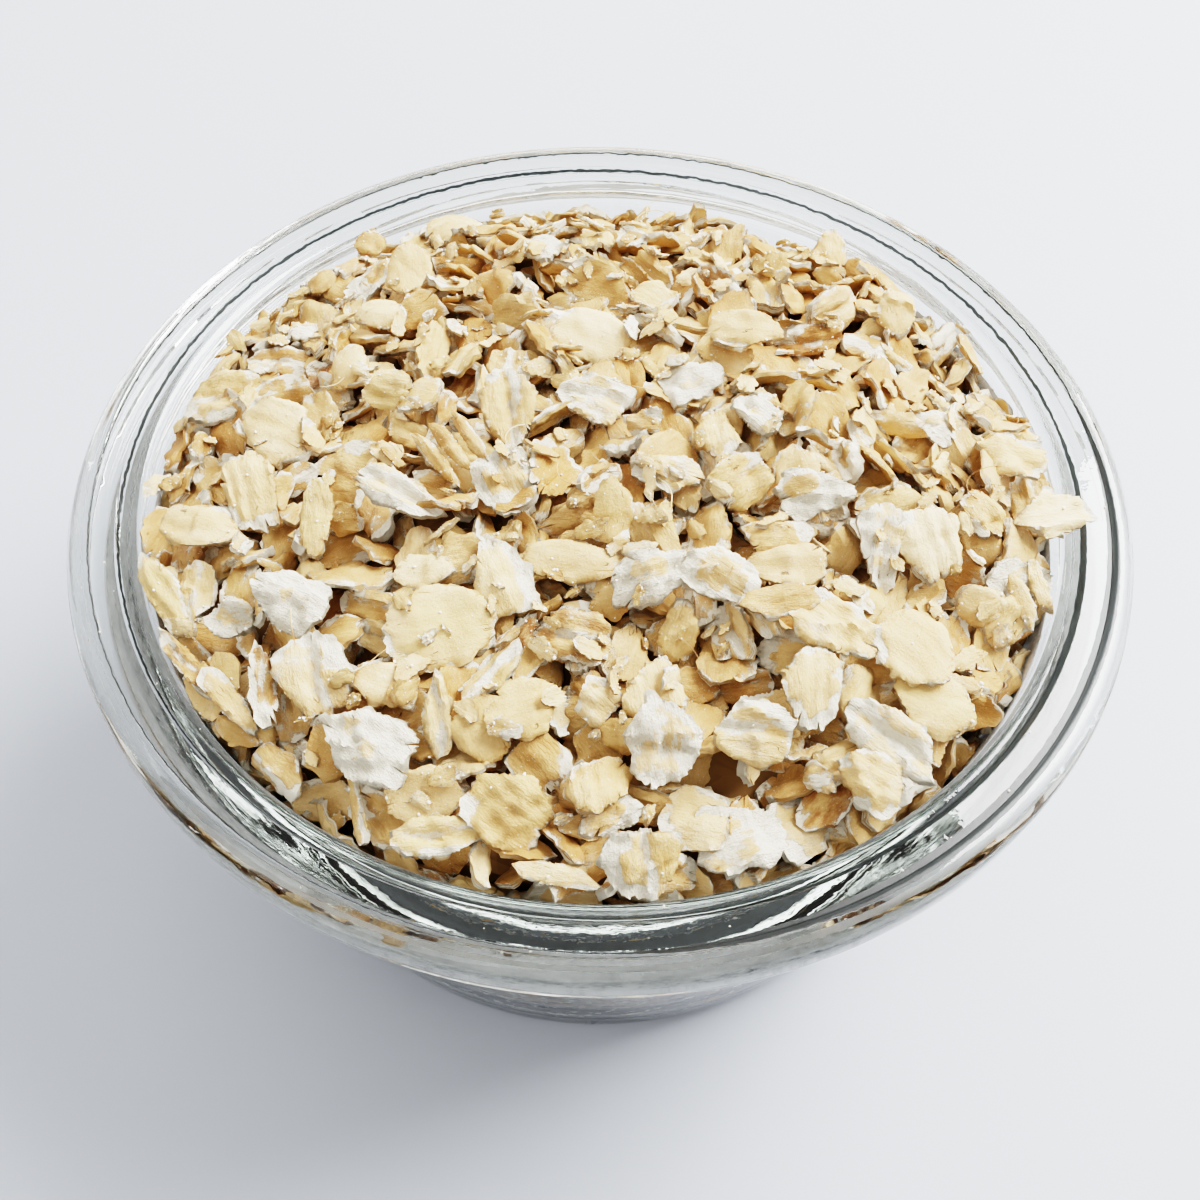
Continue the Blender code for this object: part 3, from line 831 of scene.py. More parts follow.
def flour_cover_group():
    """Where white flour shows: at the rim, where the skin is torn, in patches, and as fine dust."""
    names = (("Grain", "Vector"), ("Rim", "Float"), ("Bare", "Float"), ("Flour", "Float"),
             ("Edge", "Float"))
    group, given, result = new_group("flour_cover", names, (("Mask", "Float"), ("Crumbs", "Float")))
    grain, rim, bare, flour, edge = given.outputs[:5]
    ragged = noise(group, grain, 1.5, 6, 0.74, (0.55, 1.25, 1))
    broad = noise(group, grain, 0.4, 2)
    fine = noise(group, grain, 4.5, 3, 0.7)
    rim = maths(group, "ADD", rim, maths(group, "MULTIPLY_ADD", ragged, 1.5, -0.65))
    frayed = smooth_step(group, noise(group, grain, 0.5, 1), 0.42, 0.62)
    width = maths(group, "MULTIPLY", edge, maths(group, "MULTIPLY_ADD", frayed, 1.7, 0.3))
    edge = maths(group, "SUBTRACT", 1.0, smooth_step(group, rim, 0.0, width))
    patch = maths(group, "MULTIPLY_ADD", ragged, 0.7, maths(group, "MULTIPLY", broad, 0.9))
    patch = maths(group, "MULTIPLY_ADD", flour, 0.42, patch)
    patch = maths(group, "MULTIPLY_ADD", bare, 0.42, patch)
    powder = maths(group, "MULTIPLY", smooth_step(group, patch, 1.0, 1.25), 0.22)
    dust = smooth_step(group, maths(group, "MULTIPLY_ADD", broad, 0.25, fine), 0.755, 0.82)
    powder = maths(group, "MAXIMUM", powder, maths(group, "MULTIPLY", dust, 0.75))
    torn = maths(group, "MAXIMUM", edge, smooth_step(group, patch, 1.17, 1.25))
    mask = maths(group, "MAXIMUM", torn, powder)
    group.links.new(mask, result.inputs["Mask"])
    layers = noise(group, grain, 1.6, 5, 0.7, (0.4, 1.6, 1))
    layers = maths(group, "ABSOLUTE", maths(group, "SUBTRACT", layers, 0.5))
    crumbs = maths(group, "MULTIPLY_ADD", fine, 0.6, maths(group, "MULTIPLY", layers, 1.7))
    group.links.new(maths(group, "MULTIPLY", mask, crumbs), result.inputs["Crumbs"])
    return group


def fine_cracks_group():
    """Hair-thin cracks, here and there, that run along the flake, which the material paints dark brown as
    painted shade.
    """
    group, given, result = new_group("fine_cracks", (("Grain", "Vector"),), (("Mask", "Float"),))
    grain = given.outputs["Grain"]
    line = noise(group, grain, 0.9, 1, 0.5, (0.16, 1.0, 1))
    line = maths(group, "MULTIPLY_ADD", noise(group, grain, 1.4, 3, 0.7), 0.08, line)
    gap = maths(group, "ABSOLUTE", maths(group, "SUBTRACT", line, 0.54))
    thin = maths(group, "SUBTRACT", 1.0, smooth_step(group, gap, 0.001, 0.009))
    here = smooth_step(group, noise(group, grain, 0.5, 1), 0.6, 0.7)
    group.links.new(maths(group, "MULTIPLY", thin, here), result.inputs["Mask"])
    return group


def oat_relief_group():
    """The fine height of an oat face: wrinkles and pits in the skin, torn places, crumbs, cracks."""
    names = (("Grain", "Vector"), ("Flour", "Float"), ("Crumbs", "Float"), ("Cracks", "Float"),
             ("Wrinkled", "Float"), ("Crumbly", "Float"))
    group, given, result = new_group("oat_relief", names, (("Height", "Float"),))
    grain, flour, crumbs, cracks, wrinkled, crumbly = given.outputs[:6]
    wrinkles = noise(group, grain, 1.1, 5, 0.7, (0.5, 1.5, 1))
    height = maths(group, "MULTIPLY_ADD", wrinkles, wrinkled, maths(group, "MULTIPLY", crumbs, crumbly))
    height = maths(group, "MULTIPLY_ADD", noise(group, grain, 4.0, 4, 0.78), 0.34, height)
    height = maths(group, "MULTIPLY_ADD", flour, -0.7, height)
    height = maths(group, "SUBTRACT", height, maths(group, "MULTIPLY", cracks, 0.6))
    group.links.new(height, result.inputs["Height"])
    return group


def place_group(tree, group, **given):
    """A group in a material, with its inputs given as numbers or as other nodes' outputs."""
    node = tree.nodes.new("ShaderNodeGroup")
    node.node_tree = group
    for label, value in given.items():
        feed(tree, node.inputs[label], value)
    return node


bran_colour, flour_cover = bran_colour_group(), flour_cover_group()
fine_cracks, oat_relief = fine_cracks_group(), oat_relief_group()


def oat_material(name, edge, crumbly, skin_roughness, wrinkled=0.8):
    """Oat flake: waxy bran with matt white flour where it is torn.

    Given are how wide the floury edge is, how high the crumbs in the flour stand, and how rough
    and how wrinkled the skin is."""
    made, tree, shader = new_material(name)
    grain = new_node(tree, "ShaderNodeAttribute", attribute_name="grain").outputs["Vector"]
    rim = new_node(tree, "ShaderNodeAttribute", attribute_name="rim").outputs["Fac"]
    bare = new_node(tree, "ShaderNodeAttribute", attribute_name="bare").outputs["Fac"]
    skin = new_node(tree, "ShaderNodeAttribute", attribute_name="skin")
    split = new_node(tree, "ShaderNodeSeparateColor")
    tree.links.new(skin.outputs["Color"], split.inputs[0])
    tone, floury, brown = split.outputs
    olive = skin.outputs["Alpha"]
    bran = place_group(tree, bran_colour, Grain=grain, Rim=rim, Tone=tone, Brown=brown, Olive=olive)
    flour = place_group(tree, flour_cover, Grain=grain, Rim=rim, Bare=bare, Flour=floury, Edge=edge)
    mask, crumbs = flour.outputs
    cracks = place_group(tree, fine_cracks, Grain=grain).outputs["Mask"]
    colour = blend(tree, mask, bran.outputs["Color"], FLOUR_SHADE)
    # Painted shade: the cracks are coloured dark brown.
    colour = blend(tree, maths(tree, "MULTIPLY", cracks, 0.8), colour, CRACK_SHADOW)
    tree.links.new(colour, shader.inputs["Base Color"])
    rough = maths(tree, "MULTIPLY_ADD", mask, 0.95 - skin_roughness, skin_roughness)
    tree.links.new(rough, shader.inputs["Roughness"])
    uneven = place_group(tree, oat_relief, Grain=grain, Flour=mask, Crumbs=crumbs, Cracks=cracks,
                         Wrinkled=wrinkled, Crumbly=crumbly)
    add_bump(tree, shader, uneven.outputs["Height"], 1)
    return made


# How floury and how brown the skin of each kind is on average, from 0 to 1.
FLOUR = {"smooth": 0.08, "cracked": 0.28, "floury": 0.72, "creased": 0.35, "ridged": 0.2, "brown": 0.3,
         "sliver": 0.3, "bit": 0.35}
BROWN = {"brown": 0.75, "creased": 0.2, "sliver": 0.12}


def new_flake(draw, kind, shapes, depth=0.0):
    """A flake of one kind, with its skin drawn at random: tone, flour, brown and olive, each 0 to 1.

    Deep in the heap the flakes are painted darker and browner, with less flour: painted shade for the
    gaps they lie in."""
    tone, flour = draw.gauss(0.5, 0.2), draw.gauss(FLOUR[kind], 0.45 if kind == "bit" else 0.2)
    brown, olive = draw.gauss(BROWN.get(kind, 0.05), 0.12), draw.gauss(0.1, 0.3)
    # Painted shade: the depth darkens and browns the skin and takes flour from it.
    skin = np.add((tone, flour, brown, olive), np.multiply((-0.25, -0.25, 0.2, 0), depth))
    shape, scale, over = draw.choice(shapes), draw.uniform(0.9, 1.08), draw.choice((1, -1))
    return Flake(shape, kind, scale, over, np.clip(skin, 0, 1), draw.uniform(0, 50))


# The top of the heap: flakes let down one by one, each where the heap is lowest, until it is
# full. Most rest on three points of those below, and some are jammed upright between others.

# Of each kind: its share of the flakes, how many shapes it has, the name of its piece, and the
# numbers that oat_material takes.
KINDS = {
    "smooth": (0.22, 24, "smooth_flakes", (0.16, 1.0, 0.44, 0.25)),
    "cracked": (0.22, 30, "cracked_flakes", (0.28, 1.4, 0.5, 0.9)),
    "floury": (0.17, 26, "floury_flakes", (0.45, 1.6, 0.55, 1.1)),
    "creased": (0.11, 18, "creased_flakes", (0.3, 1.4, 0.5, 1.2)),
    "ridged": (0.08, 14, "ridged_flakes", (0.28, 1.2, 0.48, 0.9)),
    "brown": (0.04, 8, "brown_flakes", (0.16, 1.6, 0.6, 1.6)),
    "sliver": (0.16, 20, "slivers", (0.25, 1.4, 0.5, 1.0)),
}
# In millimetres: below which level under the heap's surface a flake counts as buried, at which
# level the heap is full, the top of the highest flake, and radii from the bowl's middle.
DEEP = -3.0
FILL_LEVEL = -1.1
HIGHEST = 65.8
NEAR_WALL = 38
STACKS_END = 44
FILL_REACH = 46
MOUTH_LIMIT = MOUTH_RADIUS / MM - 0.05
# How far a flake may stand over the heap's surface, and how much less of that near the wall.
MOST_ABOVE, LESS_AT_WALL = 3.2, 0.8
# How far flakes that lie, stand in a stack or are jammed sink into those below.
LYING_SINK, STACK_SINK, JAMMED_SINK = (0.3, 0.7), 1.2, 0.9
STACK_STEP = 1.0, 1.5
# Slopes, as rise over run: the steepest for a flake that lies, and the ranges for the others.
LYING_STEEPEST = 1.1
STACK_SLOPES, JAMMED_SLOPES = (0.9, 2.0), (0.6, 1.7)
# The shares of flakes that are jammed upright and that start a stack of like flakes.
JAMMED = 0.3
STACKED = 0.07
MOST_FLAKES = 2500


def mouth_ground():
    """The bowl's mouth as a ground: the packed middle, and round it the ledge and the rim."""
    side = np.arange(-58, 58 + Ground.STEP / 2, Ground.STEP)
    x, y = np.meshgrid(side * MM, side * MM)
    r = np.hypot(x, y)
    heights = heap_top(x, y) / MM - MIDDLE_DROP / MM
    heights = np.where(r > MOUTH_RADIUS - 0.2 * MM, LEDGE_HEIGHT / MM, heights)
    heights = np.where(r > SEAL_INNER_RADIUS - 0.2 * MM, BOWL_HEIGHT / MM, heights)
    ground = Ground(side[0], side[0], heights)
    ground.inside = r < MOUTH_RADIUS - 0.4 * MM
    return ground


def lowest_spot(draw, ground, reach, tries):
    """Of a few places drawn at random, the one where the heap is furthest below its final height."""
    found = []
    for _ in range(tries):
        r = reach * math.sqrt(draw.random())
        angle = draw.uniform(0, math.tau)
        x, y = r * math.cos(angle), r * math.sin(angle)
        row, column = ground.cells(np.array(x), np.array(y))
        patch = ground.heights[row - 3:row + 4, column - 3:column + 4]
        inside = ground.inside[row - 3:row + 4, column - 3:column + 4]
        found.append((float(patch[inside].mean()) - float(heap_top(x * MM, y * MM)) / MM, x, y))
    return min(found)


def let_down(flake, ground, x, y, heading, slope=None, sink=0.04, limit=MOUTH_LIMIT, highest=MOST_ABOVE):
    """Lets a flake down at x, y, or as far in from there as the wall makes it lie.

    It is left out where it would stand too high over the heap's surface."""
    for _ in range(12):
        flake.rest(ground, x, y, heading, LYING_STEEPEST, slope, sink)
        edge = flake.placed(flake.shape.points)
        excess = float(np.hypot(edge[:, 0], edge[:, 1]).max()) - limit
        if excess <= 0:
            above = edge[:, 2] - heap_top(edge[:, 0] * MM, edge[:, 1] * MM) / MM
            near_wall = math.hypot(x, y) > NEAR_WALL
            if above.max() > highest - LESS_AT_WALL * near_wall or edge[:, 2].max() > HIGHEST:
                return False
            flake.cover(ground)
            return True
        closer = 1 - (excess + 0.1) / math.hypot(x, y)
        x, y = x * closer, y * closer
    return False


draw = random.Random(20)
shapes = {kind: make_shapes(draw, kind, count, FINE) for kind, (_, count, _, _) in KINDS.items()}
coarse_shapes = make_shapes(draw, "cracked", 12, COARSE) + make_shapes(draw, "smooth", 12, COARSE)
deep_shapes = make_shapes(draw, "cracked", 16, MEDIUM) + make_shapes(draw, "creased", 10, MEDIUM)
ground = mouth_ground()
heap, buried = [], []


def drawn_kind(draw):
    """One of the seven kinds at random, by their shares."""
    return draw.choices(list(KINDS), [share for share, _, _, _ in KINDS.values()])[0]


def drawn_slope(draw, gentlest, steepest):
    """A slope at random, and the bearing in which it climbs."""
    steep, bearing = draw.uniform(gentlest, steepest), draw.uniform(0, math.tau)
    return (steep * math.cos(bearing), steep * math.sin(bearing)), bearing


for _ in range(MOST_FLAKES):
    under, x, y = lowest_spot(draw, ground, FILL_REACH, 10)
    if under > FILL_LEVEL:
        break
    deep = under < DEEP
    if not deep and draw.random() < STACKED:
        slope, bearing = drawn_slope(draw, *STACK_SLOPES)
        kind = drawn_kind(draw)
        for i in range(draw.randint(2, 5)):
            flake = new_flake(draw, kind, shapes[kind])
            heading = bearing + math.pi / 2 + draw.uniform(-0.3, 0.3)
            if let_down(flake, ground, x, y, heading, slope, STACK_SINK):
                heap.append(flake)
            x += draw.uniform(*STACK_STEP) * math.cos(bearing)
            y += draw.uniform(*STACK_STEP) * math.sin(bearing)
            if math.hypot(x, y) > STACKS_END:
                break
        continue
    kind = drawn_kind(draw)
    # Painted shade: how far the heap here lies under its final surface, from 0 to 1, darkens the flake's
    # skin.
    depth = min(1, max(0, -under - 1.2) / 2.2)
    flake = new_flake(draw, kind, deep_shapes if deep else shapes[kind], depth)
    heading, slope, sink = draw.uniform(0, math.tau), None, draw.uniform(*LYING_SINK)
    if math.hypot(x, y) > NEAR_WALL:
        heading = math.atan2(y, x) + math.pi / 2 + draw.uniform(-0.5, 0.5)
    if draw.random() < JAMMED:
        slope, bearing = drawn_slope(draw, *JAMMED_SLOPES)
        heading, sink = bearing + math.pi / 2 + draw.uniform(-0.5, 0.5), JAMMED_SINK
    if let_down(flake, ground, x, y, heading, slope, sink):
        (buried if deep else heap).append(flake)

# The flakes that stand out in the heap. Each row: where its middle shows in the photo and its
# length and width there, in pixels, how far its length is turned clockwise from level, in degrees,
# its kind, how steeply it faces the viewer, and its skin.
PIXELS_PER_MM = 10.9
SEEN = (
    (597, 350, 108, 66, 15, "smooth", 0.35, (0.8, 0.15, 0, 0.1)),
    (745, 330, 86, 46, 8, "smooth", 0.3, (0.45, 0.05, 0, 0)),
    (597, 412, 92, 56, 14, "creased", 0.4, (0.6, 0.75, 0, 0)),
    (687, 388, 84, 48, -14, "floury", 0.4, (0.6, 0.8, 0.1, 0)),
    (755, 428, 58, 42, 30, "floury", 0.3, (0.7, 1, 0, 0)),
    (717, 443, 56, 50, 80, "ridged", 0.4, (0.45, 0.2, 0, 0)),
    (743, 487, 74, 56, -35, "creased", 0.5, (0.35, 0.25, 0.05, 0.7)),
    (667, 487, 74, 46, 5, "cracked", 0.3, (0.6, 0.7, 0, 0)),
    (510, 428, 88, 58, 82, "creased", 0.6, (0.45, 0.5, 0.1, 0.2)),
    (507, 490, 78, 62, 60, "floury", 0.5, (0.5, 0.95, 0, 0)),
    (280, 440, 88, 70, 30, "smooth", 0.4, (0.7, 0.1, 0, 0.1)),
    (256, 497, 84, 66, 80, "ridged", 0.5, (0.6, 0.2, 0, 0.4)),
    (350, 372, 58, 40, -40, "smooth", 0.4, (0.6, 0.1, 0, 0)),
    (383, 332, 64, 36, 0, "smooth", 0.3, (0.7, 0.2, 0, 0)),
    (407, 527, 98, 42, 24, "creased", 0.4, (0.7, 0.8, 0, 0)),
    (327, 555, 84, 32, 100, "sliver", 0.5, (0.5, 0.1, 0, 1)),
    (290, 606, 76, 62, 20, "floury", 0.3, (0.4, 1, 0.1, 0)),
    (235, 636, 50, 44, 0, "floury", 0.3, (0.6, 1, 0, 0)),
    (205, 545, 84, 50, 14, "smooth", 0.2, (0.6, 0.1, 0, 0)),
    (168, 612, 100, 42, 68, "ridged", 0.5, (0.5, 0.3, 0, 1)),
    (425, 572, 62, 36, -5, "smooth", 0.3, (0.8, 0.1, 0, 0)),
    (500, 592, 104, 66, 72, "cracked", 0.5, (0.75, 0.3, 0, 0.2)),
    (440, 640, 112, 88, -8, "smooth", 0.45, (0.6, 0.12, 0, 0.8)),
    (573, 573, 98, 42, 5, "smooth", 0.5, (0.55, 0.05, 0, 0)),
    (613, 513, 70, 42, 90, "smooth", 0.8, (0.4, 0, 0, 0.4)),
    (570, 645, 84, 58, 10, "brown", 0.4, (0.4, 0.45, 0.8, 0)),
    (455, 462, 76, 16, 52, "sliver", 0.6, (0.3, 0.1, 0.5, 0)),
    (440, 478, 78, 16, 50, "sliver", 0.6, (0.4, 0.1, 0.4, 0)),
    (472, 452, 70, 15, 54, "sliver", 0.6, (0.35, 0.1, 0.6, 0)),
    (653, 590, 86, 54, -20, "floury", 0.4, (0.5, 0.8, 0.1, 0)),
    (715, 600, 84, 56, 25, "cracked", 0.4, (0.5, 0.75, 0.2, 0)),
    (797, 483, 70, 46, 75, "smooth", 0.6, (0.5, 0.1, 0, 0)),
    (807, 528, 80, 50, -5, "floury", 0.4, (0.45, 0.65, 0.3, 0)),
    (775, 552, 88, 42, 8, "cracked", 0.3, (0.4, 0.3, 0.3, 0)),
    (780, 590, 90, 44, 4, "smooth", 0.35, (0.55, 0.05, 0.2, 0)),
    (776, 622, 84, 32, -4, "sliver", 0.3, (0.35, 0.2, 0.4, 0)),
    (823, 650, 92, 70, 40, "cracked", 0.5, (0.55, 0.5, 0.1, 0)),
    (877, 560, 92, 50, 82, "floury", 0.6, (0.5, 1, 0, 0)),
    (925, 550, 78, 68, 70, "ridged", 0.4, (0.95, 0.2, 0, 0)),
    (910, 668, 84, 74, 40, "smooth", 0.4, (0.5, 0.15, 0, 0.1)),
    (925, 716, 84, 66, 20, "smooth", 0.5, (0.5, 0.1, 0, 0.7)),
    (900, 766, 108, 54, 36, "creased", 0.5, (0.6, 0.9, 0, 0)),
    (322, 702, 82, 76, 80, "creased", 0.5, (0.6, 0.6, 0, 0)),
    (270, 702, 88, 26, 86, "brown", 0.6, (0.3, 0.2, 0.9, 0)),
    (388, 690, 66, 46, 20, "smooth", 0.3, (0.65, 0.1, 0.1, 0)),
    (372, 762, 94, 70, 45, "floury", 0.5, (0.6, 0.85, 0, 0)),
    (438, 722, 86, 28, 88, "creased", 0.6, (0.7, 0.3, 0, 0.2)),
    (485, 745, 72, 56, 65, "smooth", 0.6, (0.45, 0.1, 0, 0.5)),
    (524, 714, 76, 58, -20, "smooth", 0.4, (0.45, 0.15, 0, 0.3)),
    (596, 708, 50, 44, 40, "cracked", 0.4, (0.7, 0.6, 0, 0)),
    (650, 702, 70, 62, 70, "cracked", 0.4, (0.6, 0.3, 0, 0)),
    (660, 780, 92, 66, 78, "floury", 0.6, (0.5, 1, 0.1, 0)),
    (750, 742, 72, 62, 8, "creased", 0.5, (0.5, 0.6, 0, 0)),
    (805, 712, 76, 60, 80, "ridged", 0.5, (0.6, 0.3, 0, 0)),
    (512, 824, 88, 78, 40, "cracked", 0.5, (0.25, 0.05, 0.2, 0.6)),
    (446, 860, 88, 36, -4, "creased", 0.5, (0.6, 0.2, 0, 0.8)),
    (640, 866, 76, 74, 85, "creased", 0.7, (0.35, 0.45, 0, 0.6)),
    (740, 835, 88, 74, -20, "floury", 0.4, (0.5, 0.85, 0.1, 0)),
    (808, 806, 92, 50, 76, "floury", 0.6, (0.6, 0.95, 0, 0)),
    (868, 802, 78, 54, 28, "cracked", 0.4, (0.5, 0.5, 0, 0)),
    (560, 878, 88, 20, 10, "sliver", 0.5, (0.7, 0.5, 0, 0)),
    (600, 790, 54, 60, 80, "cracked", 0.4, (0.4, 0.1, 0, 0)),
    (225, 396, 96, 58, -18, "creased", 0.4, (0.45, 0.2, 0, 0.3)),
    (412, 288, 72, 56, 80, "smooth", 0.6, (0.5, 0.05, 0, 0)),
    (366, 256, 44, 34, 20, "smooth", 0.4, (0.05, 0, 0.7, 1)),
    (325, 290, 38, 28, -30, "smooth", 0.3, (0.1, 0, 0.6, 1)),
    (840, 262, 60, 46, 75, "cracked", 0.9, (0.5, 0.1, 0, 0)),
    (895, 316, 62, 46, 70, "smooth", 0.5, (0.5, 0.1, 0, 0)),
    (1003, 466, 88, 50, 8, "cracked", 0.3, (0.5, 0.2, 0, 0.2)),
    (985, 516, 66, 42, 40, "cracked", 0.3, (0.4, 0.2, 0.2, 0)),
    (930, 436, 60, 46, 20, "floury", 0.3, (0.6, 0.9, 0, 0)),
    (542, 262, 52, 40, 10, "floury", 0.4, (0.7, 0.9, 0, 0)),
    (1022, 600, 66, 18, 62, "sliver", 0.3, (0.5, 0.2, 0.1, 0)),
    (1040, 600, 62, 16, 66, "sliver", 0.3, (0.7, 0.4, 0, 0)),
    (190, 668, 96, 20, 52, "brown", 0.3, (0.3, 0.2, 0.7, 0)),
    (228, 700, 92, 24, 50, "sliver", 0.3, (0.5, 0.4, 0.2, 0)),
)
LIP_FLAKE = (1040, 540, 84, 62, -4, "cracked", 0.3, (0.95, 0.25, 0, 0.1))
# For them and for the flake on the lip, in millimetres: how far they sink in, the radius that
# they keep inside, and how far they may stand over the heap's surface.
SEEN_ROOM, LIP_ROOM = (0.8, MOUTH_LIMIT, 5.5), (0.5, 51, 9)
MOST_EXTRA_SINK = 3.5


def seen_on(ground, px, py, start=70.0):
    """Where the line of sight through a place in the photo meets the heap, in millimetres."""
    sight = sight_line(px, py)
    for z in np.arange(start, 46, -0.1):
        x, y, _ = (CAMERA_AT + sight * ((z * MM - CAMERA_AT.z) / sight.z)) / MM
        if float(ground.at(np.array(x), np.array(y))) >= z:
            break
    return x, y, z


def seen_flake(draw, ground, row, room):
    """A flake laid on the heap where it shows in the photo, and whether there was room for it."""
    px, py, length, width, turn, kind, steep, skin = row
    sink, limit, highest = room
    x, y, z = seen_on(ground, px, py)
    angle = math.radians(turn)
    sight = sight_line(px + 20 * math.cos(angle), py + 20 * math.sin(angle))
    ahead = (CAMERA_AT + sight * ((z * MM - CAMERA_AT.z) / sight.z)) / MM
    heading = math.atan2(ahead.y - y, ahead.x - x)
    shape = Shape(draw, length / PIXELS_PER_MM, width / PIXELS_PER_MM, FINE, STYLES[kind])
    flake = Flake(shape, kind, 1.0, 1, np.array(skin), draw.uniform(0, 50))
    aside = draw.uniform(-0.15, 0.15)
    # Where it finds no room at its own slope, it is tried flatter and sunk deeper.
    for eased in (1, 0.6, 0.3, 0):
        slope, deeper = (aside * eased, steep * eased), MOST_EXTRA_SINK * (1 - eased)
        if let_down(flake, ground, x, y, heading, slope, sink + deeper, limit, highest):
            return flake, True
    return flake, False


for row, room in [(row, SEEN_ROOM) for row in SEEN] + [(LIP_FLAKE, LIP_ROOM)]:
    flake, lies_inside = seen_flake(draw, ground, row, room)
    if lies_inside:
        heap.append(flake)

for kind, (_, _, name, skin) in KINDS.items():
    alike = [flake for flake in heap if flake.kind == kind]
    finish_oats(joined_flakes(name, alike), oat_material(name, *skin))
# The buried flakes are the deepest, with the most painted shade in their skin.
buried_paint = oat_material("buried_flakes", 0.3, 1.0, 0.6)
finish_oats(joined_flakes("buried_flakes", buried), buried_paint)


# The flakes on the floor of the bowl and up its round corner, seen through the foot from below.
# They lie loose and mostly flat, and take larger facets than those on top.

# Radii in millimetres in which the flakes' middles are drawn, and which their edges keep inside.
FLOOR_REACH, FLOOR_LIMIT = 39.5, 41.5
FLOOR_COUNT = 260


def floor_ground():
    """The inner floor and its round corner as a ground."""
    side = np.arange(-50, 50 + Ground.STEP / 2, Ground.STEP)
    x, y = np.meshgrid(side, side)
    r = np.hypot(x, y)
    centre, rise = (v / MM for v in corner_centre(inner_radius, FLOOR_HEIGHT, FLOOR_ROUND))
    outward = np.clip(r - centre, 0, FLOOR_ROUND / MM)
    heights = rise - np.sqrt((FLOOR_ROUND / MM) ** 2 - outward**2)
    return Ground(side[0], side[0], heights)


ground = floor_ground()
floor_flakes = []
for _ in range(FLOOR_COUNT):
    places = []
    for _ in range(6):
        r, angle = FLOOR_REACH * math.sqrt(draw.random()), draw.uniform(0, math.tau)
        x, y = r * math.cos(angle), r * math.sin(angle)
        places.append((float(ground.at(np.array(x), np.array(y))), x, y))
    _, x, y = min(places)
    flake = new_flake(draw, draw.choice(("smooth", "cracked", "floury")), coarse_shapes)
    if let_down(flake, ground, x, y, draw.uniform(0, math.tau), limit=FLOOR_LIMIT, highest=99):
        floor_flakes.append(flake)
floor_paint = oat_material("floor_flakes", 0.3, 1.0, 0.5)
finish_oats(joined_flakes("floor_flakes", floor_flakes), floor_paint)


# The flakes against the wall, pressed on the glass, as seen from the side. Among the first 300
# every other one leans steeply away from the glass, and the rest lie nearly flat on it.

# Between which heights their middles are drawn, the height that no flake reaches, and the height
# from which they take smaller facets, all in millimetres.
WALL_LOW, WALL_HIGH = 9.0, 49.5
WALL_TOP = 53.2
FINER_ABOVE = 44
# The radius at which the wall is unrolled, and how far the flakes reach into the glass.
WALL_RADIUS = 44.5
WALL_TOUCH = 0.03
WALL_COUNT, STEEP_UNTIL = 1150, 300


def press_on_wall(flake, ground, along, height, heading, slope=None):
    """Lays a flake on the unrolled wall, and then turns it into its place in the bowl."""
    flake.rest(ground, along, height, heading, 0.9, slope)
    flake.cover(ground)
    depth = flake.place[2]
    angle = along / WALL_RADIUS
    out = np.array((math.cos(angle), math.sin(angle), -WALL_SLOPE))
    out /= np.linalg.norm(out)
    across = np.array((-math.sin(angle), math.cos(angle), 0))
    frame_turn = np.column_stack((across, np.cross(-out, across), -out))
    flake.turn = frame_turn @ flake.turn
    r = inner_radius(height * MM) / MM
    flake.place = np.array((r * math.cos(angle), r * math.sin(angle), height)) - out * depth
    points = flake.placed(flake.shape.points)
    walls = inner_radius(points[:, 2] * MM) / MM
    excess = float((np.hypot(points[:, 0], points[:, 1]) - walls).max())
    flake.place -= out * (excess - WALL_TOUCH)


ground = Ground(0, 0, np.zeros((140, round(math.tau * WALL_RADIUS / Ground.STEP))))
wall_flakes = []
for i in range(WALL_COUNT):
    places = []
    for _ in range(6):
        along = draw.uniform(0, math.tau * WALL_RADIUS)
        height = WALL_HIGH - (WALL_HIGH - WALL_LOW) * draw.random() ** 1.25
        places.append((float(ground.at(np.array(along), np.array(height))), along, height))
    _, along, height = min(places)
    slope = None
    if i < STEEP_UNTIL and i % 2:
        slope = (draw.uniform(-0.5, 0.5), draw.choice((-1, 1)) * draw.uniform(0.6, 2.2))
    flake = new_flake(draw, drawn_kind(draw), deep_shapes if height > FINER_ABOVE else coarse_shapes)
    press_on_wall(flake, ground, along, height, draw.gauss(0, 0.7), slope)
    if flake.placed(flake.shape.points)[:, 2].max() < WALL_TOP:
        wall_flakes.append(flake)
wall_paint = oat_material("wall_flakes", 0.3, 1.0, 0.5)
finish_oats(joined_flakes("wall_flakes", wall_flakes), wall_paint)


# Flour on the glass: a thin uneven film of oat flour clings to the inside of the wall, thicker
# towards the top, with coarser specks in it. Both reach just into the glass.

WALL_DUST = 4500
DUST_SIDES = 6
# Heights in millimetres, and into how many pieces the film is divided round and up the bowl.
FILM_LOW, FILM_HIGH = 7.0, 50.4
FILM_STEPS, FILM_ROWS = 360, 40
FILM_DEPTH = 0.04
FILM_COVER = 0.93
THIN_BELOW, DENSE_ABOVE = 20 * MM, 50 * MM
DULL_FLOUR = (236, 236, 233), (196, 196, 194)


def flour_height(angle, share):
    """Height of a place on the film, from its lower edge to just under the heap's ragged edge."""
    edge = heap_top(MOUTH_RADIUS * np.cos(angle), MOUTH_RADIUS * np.sin(angle)) / MM
    ragged = 0.3 * np.sin(31 * angle + 1) + 0.25 * np.sin(73 * angle) + 0.2 * np.sin(127 * angle + 2)
    top = np.minimum(FILM_HIGH, edge - 0.9 + ragged)
    return FILM_LOW + (top - FILM_LOW) * share


